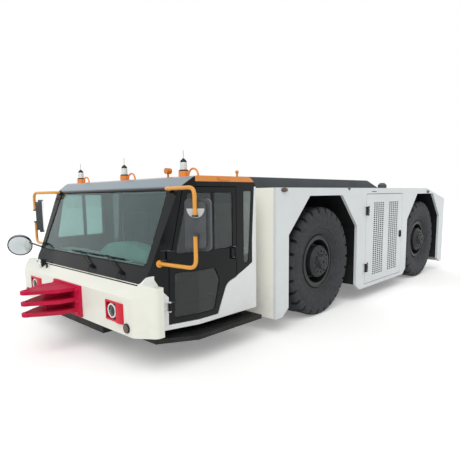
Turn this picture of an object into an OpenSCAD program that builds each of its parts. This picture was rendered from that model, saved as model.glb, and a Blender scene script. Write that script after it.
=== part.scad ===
// Towbar aircraft pushback tractor, in millimetres: +X forward, +Y to its left, +Z up.
// It stands on the ground, with the origin under the middle of its length over both hitches.
// Lengths along X are counted from the front axle unless a comment says otherwise.

/* [Body] */
// width over the side plates
body_width = 3050; // [2700:10:3400]
// flat deck above the ground
deck_height = 1780; // [1700:10:2000]
// distance between the axles
wheelbase = 3710; // [3400:10:4200]
// front axle to the shoulder face
front_overhang = 1140; // [1100:10:1200]
// rear axle to the tail
rear_overhang = 1150; // [1100:10:1500]
// lower edge of the side plates above the ground
skirt_height = 195; // [120:5:260]
// thickness of the side plates
side_plate = 40; // [20:1:60]
// thickness of the shoulder and tail plates
end_plate = 40; // [20:1:60]
// thickness of the deck plate
deck_plate_thick = 20; // [10:1:40]
// rear axle to the start of the sloping tail deck
slope_start = 70; // [20:5:200]
// fall of the tail deck
slope_fall = 220; // [100:5:300]
// length of the tail wrap along each side
tail_wrap = 120; // [60:5:135]

/* [Wheel arches] */
// half length of the arch between its upright edges
arch_half = 880; // [872:1:920]
// half length of the arch top
arch_top_half = 420; // [380:5:500]
// height of the slanting arch edges
arch_slant = 471; // [420:5:520]
// plate above the arch
arch_bridge = 104; // [94:2:140]
// length of the cut corners of the skirts
skirt_cut = 130; // [60:5:160]
// rise of the cut corners of the skirts
skirt_cut_rise = 95; // [40:5:140]
// sheet thickness of the arch liners
liner_sheet = 8; // [4:1:10]

/* [Wheels] */
// tyre diameter over the tread
tyre_diameter = 1520; // [1480:5:1540]
// tyre width over the sidewalls
tyre_width = 430; // [380:5:440]
// tyre bead diameter
bead_diameter = 650; // [600:5:700]
// tyre sidewall to the edge of the tread
tread_shoulder = 20; // [10:1:40]
// depth of the grooves between the shoulder lugs
lug_depth = 42; // [20:2:50]
// length of the shoulder lugs towards the middle of the tread
lug_reach = 105; // [70:5:130]
// number of shoulder lugs on each side
lug_count = 26; // [22:1:26]
// share of the tread's pitch that a lug takes
lug_share = 0.76; // [0.6:0.02:0.84]
// side plate face to the tyre sidewall
tyre_recess = 70; // [50:2:100]
// rim flange diameter
flange_diameter = 735; // [700:5:780]
// rim width over the flanges
rim_width = 300; // [260:5:340]
// rim sheet thickness
rim_sheet = 18; // [10:1:30]
// hub drum diameter
drum_diameter = 450; // [360:5:500]
// hub end cap diameter
cap_diameter = 220; // [160:5:260]
// hub end cap past the hub drum
cap_height = 45; // [20:1:60]
// side plate face to the hub end cap
hub_recess = 30; // [10:2:60]
// wheel disc inner face to the wheel middle plane
disc_offset = 100; // [90:1:110]
// wheel disc thickness
disc_thick = 30; // [20:1:40]
// spindle diameter
spindle_diameter = 180; // [140:2:200]

/* [Steering] */
// kingpin axis to the wheel middle plane
kingpin_offset = 200; // [195:1:210]
// kingpin diameter
kingpin_diameter = 110; // [80:2:120]
// running clearance of pins and shafts
running_gap = 0.08; // [0.02:0.01:0.1]
// axial clearance between turning faces
face_gap = 1; // [0.5:0.1:2]
// height of the knuckle block between the yoke ears
knuckle_height = 300; // [240:5:320]
// thickness of a yoke ear
ear_thick = 60; // [40:2:80]
// outer radius of the yoke ears about the kingpin
ear_radius = 86; // [80:1:90]
// half width of the knuckle block
knuckle_half = 80; // [70:1:85]
// axle tube diameter
axle_tube = 300; // [240:5:320]
// differential housing diameter
diff_diameter = 360; // [310:5:366]
// length of the steering arm
arm_length = 190; // [150:5:220]
// width of the steering arm
arm_width = 50; // [40:2:56]

/* [Chassis] */
// half width over the frame plates
frame_half = 560; // [480:5:590]
// thickness of the frame plates
frame_plate = 60; // [40:2:80]
// underside of the frame between the axles
frame_bottom = 330; // [280:5:380]
// top of the frame plates
frame_top = 1150; // [1000:10:1200]
// frame underside over the axles
axle_notch_top = 945; // [930:5:980]
// half length of the notch over an axle
axle_notch_half = 330; // [300:5:380]
// underside of the front frame slab
slab_bottom = 250; // [200:5:280]
// length of the frame under the bumper
front_beam = 120; // [80:5:140]
// engine block behind and before the edges of the engine doors
engine_margin = 50; // [10:5:200]
// width of the engine block
engine_width = 900; // [700:10:980]
// deck to the top of the engine block
engine_drop = 240; // [100:10:400]

/* [Engine doors] */
// front arch to the hinged edge of the engine door
hatch_margin = 295; // [240:5:360]
// engine door to the rear arch
hatch_rear_margin = 255; // [200:5:320]
// lower edge of the engine door above the ground
hatch_bottom = 262; // [240:2:320]
// deck to the top of the engine door
hatch_drop = 98; // [80:2:160]
// thickness of the engine door
hatch_thick = 30; // [20:1:40]
// gap around every door
door_gap = 8; // [6:0.5:12]
// plain border above and below the perforation
perf_border = 112; // [80:2:160]
// plain border in front of and behind the perforation
perf_side = 190; // [150:5:260]
// thickness of the perforated sheet
perf_sheet = 5; // [3:1:8]
// length of a perforation slot
slit_length = 56; // [30:1:60]
// height of a perforation slot
slit_height = 20; // [10:1:22]
// distance between slots along the door
slit_pitch = 78; // [66:1:90]
// distance between slots up the door
slit_rise = 33; // [28:1:45]
// plain strip between the two perforated fields
strip_width = 130; // [60:5:140]
// hinge barrel radius
barrel_radius = 16; // [12:1:22]
// hinge pin radius
pin_radius = 8; // [6:0.5:10]
// height of an engine door hinge
hatch_hinge = 140; // [100:5:180]
// hinge leaf width
leaf_width = 80; // [50:5:120]
// pad of a hinge leaf on its door
leaf_pad = 22; // [16:1:26]
// hinge leaf thickness
leaf_thick = 10; // [6:1:14]
// hatch edge to the nearest hinge end
hinge_inset = 190; // [120:5:300]
// engine door latch size
latch_size = 105; // [80:5:140]

/* [Deck cover] */
// half width of the deck cover
cover_half = 800; // [600:10:1000]
// deck cover above the deck
cover_rise = 160; // [100:5:200]
// front end of the deck cover
cover_front = 1000; // [800:10:1060]
// front axle to the end of the cover's flat top
cover_top_end = 2680; // [2400:10:2900]
// length of the cover's sloping tail
cover_slope = 560; // [400:10:700]
// sheet thickness of the deck cover
cover_sheet = 15; // [8:1:25]
// number of cooling slots in the cover
slot_count = 9; // [5:1:14]
// width of a cooling slot
slot_width = 45; // [30:1:60]
// pitch of the cooling slots
slot_pitch = 95; // [80:5:120]
// half length of a cooling slot
slot_half = 560; // [400:10:640]
// radius of the breather stub on the tail deck
stub_radius = 85; // [60:5:100]
// width of the sloping edge of the breather stub
stub_edge = 42; // [20:2:50]
// height of the breather stub over the deck
stub_height = 120; // [80:5:160]
// deck middle line to the breather stub
stub_side = 800; // [700:10:1000]
// deck cover's end to the breather stub
stub_behind = 110; // [100:5:300]

/* [Bumper] */
// front axle to the bumper face
bumper_front = 3000; // [2960:5:3060]
// depth of the bumper
bumper_depth = 220; // [200:5:240]
// half width of the bumper
bumper_half = 1486; // [1440:2:1520]
// half width of the bumper's flat face
bumper_flat = 1290; // [1240:5:1330]
// depth of the bumper's cut corners
bumper_cut = 140; // [100:5:160]
// bumper's lower edge above the ground
bumper_bottom = 390; // [370:2:400]
// top of the bumper's upright face
bumper_face_top = 755; // [740:2:770]
// crease of the sloping ledge above the bumper face, height
ledge_crease = 795; // [780:2:810]
// crease of the sloping ledge behind the bumper face
ledge_crease_back = 50; // [30:2:70]
// corner radius of the bumper in plan
bumper_radius = 70; // [30:5:90]
// headlamp frame inner edge from the middle line
lamp_inner = 825; // [780:5:840]
// headlamp frame width
lamp_width = 232; // [210:2:250]
// width of the curved lamp cheek
lamp_cheek = 88; // [60:2:110]
// headlamp frame bottom above the ground
lamp_bottom = 492; // [470:2:510]
// headlamp frame height
lamp_height = 200; // [180:2:220]
// headlamp frame before the bumper
lamp_proud = 10; // [6:1:16]
// lamp cheek before the bumper
cheek_proud = 24; // [18:1:32]
// depth of the headlamp pocket in the bumper
lamp_pocket = 60; // [40:2:80]
// border of the headlamp frame
lamp_border = 18; // [12:1:20]
// thickness of the headlamp frame's back and of the reflector
lamp_sheet = 12; // [8:1:16]
// headlamp radius
lamp_radius = 74; // [60:1:78]
// headlamp lens bulge
lens_bulge = 12; // [6:1:20]

/* [Hitches] */
// half width of a hitch plate
hitch_plate_half = 325; // [260:5:360]
// hitch plate's lower edge above the ground
hitch_bottom = 405; // [395:2:420]
// hitch plate height
hitch_height = 345; // [330:2:350]
// hitch plate thickness
hitch_plate = 30; // [20:1:40]
// length of the hitch tines from the plate
tine_length = 490; // [400:5:560]
// tine thickness
tine_thick = 40; // [30:1:50]
// pitch of the tines
tine_pitch = 119; // [100:1:125]
// middle tine above the ground
tine_middle = 590; // [580:2:605]
// half width of the tines at the plate
tine_root = 235; // [200:5:250]
// half width of the tines at their shoulders
tine_wide = 225; // [190:5:240]
// half width of the tines at their necks
tine_neck = 130; // [110:5:150]
// tip radius of the tines
tine_tip = 62; // [50:1:80]
// shoulders of the tines from the plate
tine_wide_at = 170; // [140:5:200]
// necks of the tines from the plate
tine_neck_at = 335; // [300:5:360]
// towing pin bore radius
tow_bore = 27; // [20:0.5:35]
// width of the rib between the tines
rib_width = 60; // [40:2:80]
// length of the rib between the tines
rib_length = 250; // [150:5:300]

/* [Cab] */
// front axle to the cab's rear face
cab_rear = 1350; // [1300:5:1400]
// half width over the cab sides
cab_half = 1395; // [1300:5:1440]
// front axle to where the cab sides start to taper
cab_taper = 2260; // [2200:5:2300]
// taper angle of the cab sides in degrees
taper_angle = 13.8; // [10:0.1:16]
// cab's lower edge above the ground
cab_bottom = 378; // [360:2:385]
// cab wall and door thickness
cab_wall = 50; // [40:1:60]
// foot of the wiper panel, from the front axle
scuttle_foot = 2850; // [2830:5:2870]
// foot of the wiper panel above the ground
scuttle_bottom = 865; // [850:5:880]
// foot of the windscreen, from the front axle
screen_foot = 2770; // [2750:5:2790]
// foot of the windscreen above the ground
screen_bottom = 1000; // [980:5:1020]
// top of the windscreen, from the front axle
screen_head = 2450; // [2430:5:2480]
// cab roof to the top of the windscreen
screen_drop = 120; // [100:5:140]
// front edge of the flat roof, from the front axle
roof_front = 2275; // [2262:2:2300]
// cab roof above the ground
roof_height = 1900; // [1880:5:1930]
// length of the roof's rear slope
roof_tail = 100; // [60:5:140]
// fall of the roof's rear slope
roof_tail_fall = 90; // [60:5:140]
// rounding of the roof edges
roof_radius = 110; // [80:5:140]
// depth of the roof panel's edge
roof_skirt = 58; // [52:1:65]
// half width of the windscreen glass
screen_half = 1190; // [1150:5:1210]
// frame above and below the windscreen glass
screen_border = 22; // [12:1:30]
// corner radius of the windscreen
screen_radius = 70; // [40:5:90]
// glass thickness
glass_thick = 10; // [6:1:14]
// glass behind the outer face
glass_inset = 6; // [3:1:12]
// corner radius of the side windows
pane_radius = 35; // [20:1:45]

/* [Cab doors] */
// hinged edge of the cab door, from the front axle
door_front = 2588; // [2570:2:2600]
// hinged edge of the cab door at the waist
door_waist_x = 2572; // [2560:2:2580]
// waist where the door edge starts to lean, above the ground
door_waist = 1010; // [990:5:1040]
// upper front corner of the door, from the front axle
door_head = 2405; // [2395:2:2410]
// cab roof to the upper edge of the door
door_drop = 115; // [110:1:130]
// rear edge of the door, from the front axle
door_rear = 1690; // [1660:5:1720]
// lower edge of the door above the ground
door_bottom = 436; // [430:2:445]
// rear end of the door's lower edge, from the front axle
door_heel = 1992; // [1960:4:2020]
// haunch of the door's lower rear edge, from the front axle
door_haunch = 1850; // [1830:5:1880]
// height of the haunch
door_haunch_z = 752; // [730:2:770]
// lower end of the door's upright rear edge
door_rear_low = 800; // [790:5:840]
// rounding of the haunch
haunch_radius = 150; // [80:5:180]
// door frame width around the glass
door_frame = 52; // [40:1:60]
// top of the door's middle rail
rail_top = 1130; // [1110:5:1150]
// underside of the door's middle rail
rail_bottom = 945; // [930:5:970]
// upright bar in the upper door window, from the front axle
bar_place = 2042; // [2000:5:2080]
// width of the upright window bar
bar_width = 26; // [16:1:36]
// nose of the lower door glass, from the front axle
low_nose = 1900; // [1890:2:1910]
// height of the lower door glass nose
low_nose_z = 810; // [800:2:820]
// cab door hinge height
door_hinge = 80; // [60:5:90]
// lower hinge above the ground
hinge_low = 575; // [520:5:590]
// upper hinge above the ground
hinge_high = 1085; // [1075:5:1110]
// door handle length
handle_length = 120; // [100:5:160]
// door handle stand-off
handle_off = 38; // [25:1:50]
// door handle radius
handle_radius = 11; // [8:0.5:14]

/* [Cab sides] */
// quarter window rear edge at its top, from the front axle
quarter_rear = 1425; // [1415:1:1440]
// quarter window front edge, from the front axle
quarter_front = 1570; // [1550:2:1590]
// cab roof to the quarter window
quarter_drop = 150; // [130:5:180]
// quarter window bottom above the ground
quarter_bottom = 925; // [910:5:960]
// quarter window middle of the rear edge, from the front axle
quarter_mid = 1462; // [1450:2:1480]
// quarter window lower rear corner, from the front axle
quarter_foot = 1485; // [1475:1:1495]
// height of the middle of that edge
quarter_mid_z = 1190; // [1150:10:1250]
// border of the black quarter frame
quarter_frame = 42; // [30:1:50]
// peak of the white corner panels above the ground
corner_peak = 937; // [925:2:950]
// white corner panels at the door edge, height
corner_low = 690; // [660:5:720]
// inner end of the corner horn from the middle line
horn_inner = 1190; // [1160:5:1200]

/* [Running boards] */
// running board top above the ground
board_top = 300; // [285:1:310]
// running board thickness
board_thick = 50; // [40:1:49]
// running board past the cab side
board_out = 85; // [60:5:110]

/* [Interior] */
// seat middle from the middle line
seat_side = 640; // [560:5:700]
// seat cushion top above the cab floor
seat_rise = 470; // [420:5:500]
// seat width
seat_width = 520; // [460:5:560]
// seat cushion length
seat_length = 500; // [460:5:540]
// width of the seat's foot
seat_foot = 340; // [280:5:400]
// cushion thickness
cushion_thick = 130; // [100:5:150]
// seat back height over the cushion
back_height = 620; // [520:5:680]
// seat back thickness
back_thick = 120; // [90:5:140]
// seat rear from the cab's rear wall
seat_gap = 60; // [40:5:120]
// dash height above the cab floor
dash_rise = 575; // [540:5:600]
// dash rear edge, from the front axle
dash_rear = 2330; // [2300:5:2380]
// dash half width
dash_half = 1140; // [1060:5:1150]
// dash depth of its overhanging top
dash_top = 180; // [120:5:220]
// steering wheel radius
wheel_radius = 215; // [190:5:230]
// steering wheel rim radius
wheel_grip = 15; // [12:0.5:18]
// steering wheel spoke radius
spoke_radius = 10; // [8:0.5:12]
// tilt of the steering column in degrees
wheel_tilt = 60; // [50:1:70]
// steering column length past the dash
column_length = 210; // [180:5:260]
// steering column radius
column_radius = 32; // [24:1:40]

/* [Mirrors] */
// mirror tube radius
mirror_tube = 19; // [14:0.5:20]
// mirror upright, from the front axle
mirror_x = 2620; // [2590:5:2660]
// mirror upright from the middle line
mirror_y = 1765; // [1700:5:1780]
// upper mirror arm above the ground
mirror_high = 1772; // [1750:2:1790]
// lower mirror arm above the ground
mirror_low = 1052; // [1030:2:1060]
// mirror head width
mirror_width = 245; // [200:5:260]
// mirror head height
mirror_height = 470; // [400:5:500]
// mirror head depth
mirror_depth = 90; // [80:5:110]
// depth of the mirror head's rim
mirror_rim = 50; // [40:2:60]
// step behind the mirror head's rim
mirror_step = 30; // [20:2:36]
// mirror head middle above the ground
mirror_mid = 1437; // [1420:5:1450]
// upper mirror arm's foot from the middle line
arm_foot_y = 1235; // [1200:5:1250]
// upper mirror arm before the windscreen's top edge
arm_stand = 80; // [60:5:100]
// mirror tubes along the front of the mirror head
tube_lap = 150; // [100:5:180]
// mirror head to the mirror tubes
tube_gap = 0.3; // [0.2:0.1:0.5]
// turn of the mirror head in degrees
mirror_turn = 28; // [15:1:35]
// corner radius of the mirror head
mirror_corner_radius = 40; // [20:2:50]
// radius of the round mirror
round_mirror_radius = 160; // [130:5:180]
// thickness of the round mirror
round_mirror_thick = 36; // [24:1:48]
// turn of the round mirror's face from straight ahead in degrees
round_turn = 64; // [50:1:80]
// dip of the round mirror's face in degrees
round_dip = 25; // [10:1:30]
// radius of the round mirror's arm
round_arm = 11; // [8:0.5:14]
// round mirror, from the front axle
round_x = 2930; // [2910:5:2950]
// round mirror from the middle line
round_y = 1585; // [1560:5:1620]
// round mirror above the ground
round_z = 1039; // [1010:5:1060]

/* [Lights] */
// beacon positions, from the front axle
beacon_x = 2195; // [2150:5:2210]
// outer beacons from the middle line
beacon_y = 1125; // [1050:5:1150]
// beacon base radius
beacon_base = 55; // [45:1:65]
// beacon base height
beacon_base_height = 55; // [40:1:70]
// beacon lens radius
beacon_lens = 44; // [35:1:50]
// beacon lens height
beacon_height = 125; // [100:5:150]
// whip over the beacon
whip_height = 90; // [60:5:110]
// whip radius
whip_radius = 4; // [3:0.5:6]
// guard hoop radius
hoop_radius = 75; // [60:5:90]
// guard hoop tube radius
hoop_tube = 10; // [8:0.5:12]
// hoop middle beside the beacon
hoop_off = 150; // [140:5:180]
// marker lamp radius
marker_radius = 28; // [20:1:35]
// marker lamp height
marker_height = 14; // [10:1:20]
// roof lamp, from the front axle
roof_lamp_x = 2200; // [2150:5:2210]
// roof lamp from the middle line
roof_lamp_y = 868; // [840:5:900]
// roof lamp radius
roof_lamp = 32; // [24:1:40]
// roof lamp above the roof
roof_lamp_rise = 69; // [60:1:90]
// roof knob, from the front axle
knob_x = 1563; // [1520:5:1620]
// roof knob from the middle line
knob_y = 1300; // [1240:5:1320]
// roof knob radius
knob_radius = 20; // [14:1:26]
// roof knob above the roof
knob_rise = 56; // [40:2:70]
// front end of the roof's side lamps, from the front axle
strip_front = 1959; // [1900:5:2000]
// length of the roof's side lamps
strip_length = 166; // [120:2:200]
// height of the roof's side lamps
strip_height = 30; // [20:1:36]
// thickness of the roof's side lamps
strip_thick = 18; // [10:1:24]
// ledge lamp from the middle line
ledge_lamp_y = 890; // [860:5:960]
// ledge lamp radius
ledge_lamp = 42; // [34:1:48]
// depth of the ledge lamp
ledge_lamp_depth = 70; // [50:2:80]
// ledge lamp behind the bumper face
ledge_lamp_back = 85; // [70:1:90]
// ledge lamp above the ground
ledge_lamp_z = 878; // [870:2:900]
// ledge post from the middle line
ledge_post_y = 754; // [730:2:800]
// top of the ledge post above the ground
ledge_post_top = 868; // [850:2:900]
// radius of the lamp stalks and of the ledge post
stalk_radius = 12; // [8:0.5:14]
// tail lamp width
tail_width = 260; // [200:5:300]
// tail lamp height
tail_height = 120; // [100:5:150]
// tail lamp thickness
tail_thick = 35; // [25:1:45]
// tail lamp middle from the middle line
tail_side = 1200; // [1100:10:1300]
// tail lamp middle above the ground
tail_z = 1050; // [950:10:1200]

/* [Wipers] */
// wiper pivots from the middle line, right and left
wiper_pivots = [230, 830]; // [200:10:900]
// wiper arm length
wiper_arm = 350; // [320:5:420]
// wiper arm radius
wiper_radius = 9; // [6:0.5:12]
// wiper blade length
wiper_blade = 560; // [450:10:620]
// lean of the wiper arm in degrees
wiper_lean = 10; // [6:1:16]

/* [Hidden] */
$fn = 64;

// reach of a cut past the face it opens
overrun = 5;
// swelling of a tube at its elbows
elbow_extra = 1;
// steps along a rounded corner
arc_steps = 6;
// share of a wiper blade below its arm
blade_low_share = 0.4;
// rise of the corner horn along the cab side, as shares of its length and height
horn_side_shares = [[0, 0], [0.22, 0.19], [0.43, 0.37], [0.59, 0.56], [0.74, 0.77], [0.84, 0.91], [1, 1]];
// rise of the corner horn across the front, as shares of its width and height
horn_front_shares = [[0, 0], [0.2, 0.12], [0.42, 0.36], [0.73, 0.78], [0.88, 0.94], [1, 1]];
side_y = body_width / 2;
inner_y = side_y - side_plate;
tail_x = -wheelbase - rear_overhang;
arch_top = deck_height - arch_bridge;
arch_knee = arch_top - arch_slant;
slope_x = -wheelbase - slope_start;
hatch_front = arch_half + hatch_margin;
hatch_length = wheelbase - hatch_front - arch_half - hatch_rear_margin;
hatch_height = deck_height - hatch_drop - hatch_bottom;
engine_length = hatch_length - 2 * engine_margin;
engine_height = deck_height - engine_drop - frame_bottom - frame_plate;
front_tip = bumper_front + hitch_plate + tine_length;
rear_tip = tail_x - hitch_plate - tine_length;
axle_shift = -(front_tip + rear_tip) / 2;
tyre_r = tyre_diameter / 2;
wheel_y = side_y - tyre_recess - tyre_width / 2;
kingpin_y = wheel_y - kingpin_offset;
bumper_back = bumper_front - bumper_depth;
screen_top = roof_height - screen_drop;
roof_split = roof_height - roof_skirt;
door_top = roof_height - door_drop;
quarter_top = roof_height - quarter_drop;
screen_lean = [screen_head - screen_foot, screen_top - screen_bottom];
cab_nose = scuttle_foot + cab_wall;
nose_half = cab_half - (cab_nose - cab_taper) * tan(taper_angle);
floor_top = cab_bottom + cab_wall;
seat_rear = cab_rear + cab_wall + seat_gap;

cab_plan = [[cab_rear, -cab_half], [cab_taper, -cab_half], [cab_nose, -nose_half],
    [cab_nose, nose_half], [cab_taper, cab_half], [cab_rear, cab_half]];
cab_profile = [[cab_rear, cab_bottom], [bumper_back, cab_bottom], [bumper_back, scuttle_bottom],
    [scuttle_foot, scuttle_bottom], [screen_foot, screen_bottom], [screen_head, screen_top],
    [roof_front, roof_height], [cab_rear + roof_tail, roof_height],
    [cab_rear, roof_height - roof_tail_fall]];
profile_rounds = [0, 0, 0, 0, 0, roof_radius, roof_radius, roof_radius, roof_radius];
door_outline = [[door_heel, door_bottom], [door_front, door_bottom], [door_waist_x, door_waist],
    [door_head, door_top], [door_rear, door_top], [door_rear, door_rear_low],
    [door_haunch, door_haunch_z]];
door_rounds = [0, 0, 0, pane_radius, 0, 0, haunch_radius];
quarter_outline = [[quarter_front, quarter_bottom], [quarter_front, quarter_top],
    [quarter_rear, quarter_top], [quarter_mid, quarter_mid_z],
    [quarter_foot, quarter_bottom]];

function unit(v) = v / norm(v);
function left_of(v) = [-v[1], v[0]];
function inset_corner(a, b, c, t) =
    let (n = left_of(unit(b - a)), m = left_of(unit(c - b)))
    b + t * (n + m) / (1 + n * m);
// an outline moved inwards by t, its points running anticlockwise
function inset(pts, t) =
    let (k = len(pts))
    [for (i = [0 : k - 1]) inset_corner(pts[(i + k - 1) % k], pts[i], pts[(i + 1) % k], t)];
// a turn in degrees taken the short way round
function short_turn(a) = a > 180 ? a - 360 : a < -180 ? a + 360 : a;
function fillet_corner(a, b, c, r) =
    let (u = unit(a - b), w = unit(c - b), half = acos(u * w) / 2, d = r / tan(half),
        m = b + unit(u + w) * r / sin(half), p = b + d * u - m, q = b + d * w - m,
        start = atan2(p[1], p[0]), turn = short_turn(atan2(q[1], q[0]) - start))
    [for (i = [0 : arc_steps]) m + r * [cos(start + turn * i / arc_steps),
        sin(start + turn * i / arc_steps)]];
// an outline with each corner rounded by its own radius
function rounded(pts, rs) =
    let (k = len(pts))
    [for (i = [0 : k - 1]) each rs[i] > 0
        ? fillet_corner(pts[(i + k - 1) % k], pts[i], pts[(i + 1) % k], rs[i]) : [pts[i]]];
function all_round(pts, r) = rounded(pts, [for (p = pts) r]);
// outer face of the cab side at a place along X
function cab_side(x) = x < cab_taper ? cab_half : cab_half - (x - cab_taper) * tan(taper_angle);
// height of the deck along X
function deck_at(x) = x > slope_x ? deck_height
    : deck_height - slope_fall * (slope_x - x) / (slope_x - tail_x);

module xz_prism(pts, y0, y1)
    translate([0, y1, 0]) rotate([90, 0, 0]) linear_extrude(height = y1 - y0) polygon(pts);
module xy_prism(pts, z0, z1)
    translate([0, 0, z0]) linear_extrude(height = z1 - z0) polygon(pts);
module yz_prism(pts, x0, x1)
    translate([x0, 0, 0]) rotate([90, 0, 90]) linear_extrude(height = x1 - x0) polygon(pts);
module block(x0, x1, y0, y1, z0, z1)
    translate([x0, y0, z0]) cube([x1 - x0, y1 - y0, z1 - z0]);
module both() {
    children();
    mirror([0, 1, 0]) children();
}
module rod(p, q, r) {
    v = q - p;
    translate(p) rotate([0, acos(v[2] / norm(v)), atan2(v[1], v[0])])
        cylinder(h = norm(v), r = r);
}
module tube_run(pts, r) {
    for (i = [0 : len(pts) - 2]) rod(pts[i], pts[i + 1], r);
    for (i = [1 : len(pts) - 2]) translate(pts[i]) sphere(r = r + elbow_extra);
}
// a shape turned about the wheel axis, drawn as radius and distance along the axle
module turned(pts)
    rotate([-90, 0, 0]) rotate_extrude($fn = 96) polygon(pts);

function arch_points(x) = [[x - arch_half - skirt_cut, skirt_height],
    [x - arch_half, skirt_height + skirt_cut_rise],
    [x - arch_half, arch_knee], [x - arch_top_half, arch_top], [x + arch_top_half, arch_top],
    [x + arch_half, arch_knee], [x + arch_half, skirt_height + skirt_cut_rise],
    [x + arch_half + skirt_cut, skirt_height]];
function liner_points(x, t) = [[x - arch_half - t, skirt_height + skirt_cut_rise],
    [x + arch_half + t, skirt_height + skirt_cut_rise],
    [x + arch_half + t, arch_knee], [x + arch_top_half + t, arch_top + t],
    [x - arch_top_half - t, arch_top + t], [x - arch_half - t, arch_knee]];

module chassis_frame() color("#2b2d2f") {
    both() difference() {
        block(tail_x + end_plate, front_overhang - end_plate, frame_half - frame_plate, frame_half,
            frame_bottom, frame_top);
        for (x = [0, -wheelbase]) block(x - axle_notch_half, x + axle_notch_half, 0, side_y,
            0, axle_notch_top);
    }
    for (x = [front_overhang - end_plate - frame_plate, tail_x + end_plate])
        block(x, x + frame_plate, -frame_half, frame_half, frame_bottom, frame_top);
    for (x = [0, -wheelbase]) block(x - axle_notch_half - frame_plate,
        x + axle_notch_half + frame_plate, -frame_half, frame_half,
        axle_notch_top, axle_notch_top + frame_plate);
    block(-wheelbase + axle_notch_half, -axle_notch_half, -frame_half, frame_half,
        frame_bottom, frame_bottom + frame_plate);
    block(axle_notch_half, bumper_back, -frame_half, frame_half, slab_bottom, cab_bottom);
    block(bumper_back, bumper_back + front_beam, -frame_half, frame_half, slab_bottom, bumper_bottom);
}

module engine_block() color("#3a3d40")
    translate([-hatch_front - (hatch_length + engine_length) / 2, -engine_width / 2,
        frame_bottom + frame_plate])
        cube([engine_length, engine_width, engine_height]);

// axle beam with yokes, in the frame of its own axle middle
module axle() color("#26282a") {
    tube_end = kingpin_y - ear_radius - ear_thick;
    difference() {
        union() {
            rod([0, -tube_end, 0], [0, tube_end, 0], axle_tube / 2);
            sphere(r = diff_diameter / 2);
            for (s = [-1, 1]) block(-axle_tube / 2, axle_tube / 2, s * frame_half - frame_plate,
                s * frame_half + frame_plate, 0, axle_notch_top - tyre_r);
            both() for (s = [-1, 1]) yoke_ear(s, tube_end);
        }
        both() translate([0, kingpin_y, -tyre_r])
            cylinder(h = tyre_diameter, r = kingpin_diameter / 2 + running_gap);
    }
}
module yoke_ear(s, tube_end) {
    z0 = s > 0 ? knuckle_height / 2 + face_gap : -knuckle_height / 2 - face_gap - ear_thick;
    translate([0, kingpin_y, z0]) cylinder(h = ear_thick, r = ear_radius);
    block(-ear_radius, ear_radius, tube_end - ear_thick, kingpin_y, z0, z0 + ear_thick);
    block(-ear_radius, ear_radius, tube_end - ear_thick, tube_end, s > 0 ? 0 : z0,
        s > 0 ? z0 + ear_thick : 0);
}
module front_axle() translate([0, 0, tyre_r]) axle();
module rear_axle() translate([-wheelbase, 0, tyre_r]) axle();

// knuckle of a left wheel, with its kingpin and spindle, about the wheel axis at the kingpin
module knuckle() color("#34373a") {
    translate([0, 0, -knuckle_height / 2 - ear_thick])
        cylinder(h = knuckle_height + 2 * ear_thick, r = kingpin_diameter / 2);
    intersection() {
        block(-knuckle_half, knuckle_half, -knuckle_half, knuckle_half,
            -knuckle_height / 2, knuckle_height / 2);
        translate([0, 0, -knuckle_height / 2]) cylinder(h = knuckle_height, r = ear_radius);
    }
    rod([0, 0, 0], [0, spindle_end - kingpin_y, 0], spindle_diameter / 2);
    block(-arm_length, 0, -arm_width, 0, -arm_width / 2, arm_width / 2);
}
spindle_end = wheel_y + rim_width / 2 - disc_thick;
module at_kingpin(x, s)
    translate([x, 0, tyre_r]) mirror([0, s < 0 ? 1 : 0, 0]) translate([0, kingpin_y, 0]) children();
module knuckle_front_left() at_kingpin(0, 1) knuckle();
module knuckle_front_right() at_kingpin(0, -1) knuckle();
module knuckle_rear_left() at_kingpin(-wheelbase, 1) knuckle();
module knuckle_rear_right() at_kingpin(-wheelbase, -1) knuckle();

// rim, disc and planetary hub of a left wheel about its middle
module wheel() color("#1c1d1f") {
    rim_r = bead_diameter / 2 - rim_sheet;
    half = rim_width / 2;
    cap_end = side_y - hub_recess - wheel_y;
    drum_end = cap_end - cap_height;
    bore = spindle_diameter / 2 + running_gap;
    end = spindle_end - wheel_y + face_gap;
    turned([[bore, -disc_offset], [rim_r - rim_sheet, -disc_offset], [rim_r - rim_sheet, -half],
        [flange_diameter / 2, -half], [flange_diameter / 2, -half + rim_sheet],
        [bead_diameter / 2 - face_gap, -half + rim_sheet], [bead_diameter / 2 - face_gap, half - rim_sheet],
        [flange_diameter / 2, half - rim_sheet], [flange_diameter / 2, half], [rim_r, half],
        [rim_r, -disc_offset + disc_thick], [drum_diameter / 2, -disc_offset + disc_thick],
        [drum_diameter / 2, drum_end - cap_height], [drum_diameter / 2 - cap_height, drum_end],
        [cap_diameter / 2, drum_end], [cap_diameter / 2 - rim_sheet, cap_end], [0, cap_end],
        [0, end], [bore, end]]);
}
module at_wheel(x, s)
    translate([x, 0, tyre_r]) mirror([0, s < 0 ? 1 : 0, 0]) translate([0, wheel_y, 0]) children();
module wheel_front_left() at_wheel(0, 1) wheel();
module wheel_front_right() at_wheel(0, -1) wheel();
module wheel_rear_left() at_wheel(-wheelbase, 1) wheel();
module wheel_rear_right() at_wheel(-wheelbase, -1) wheel();

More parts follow.
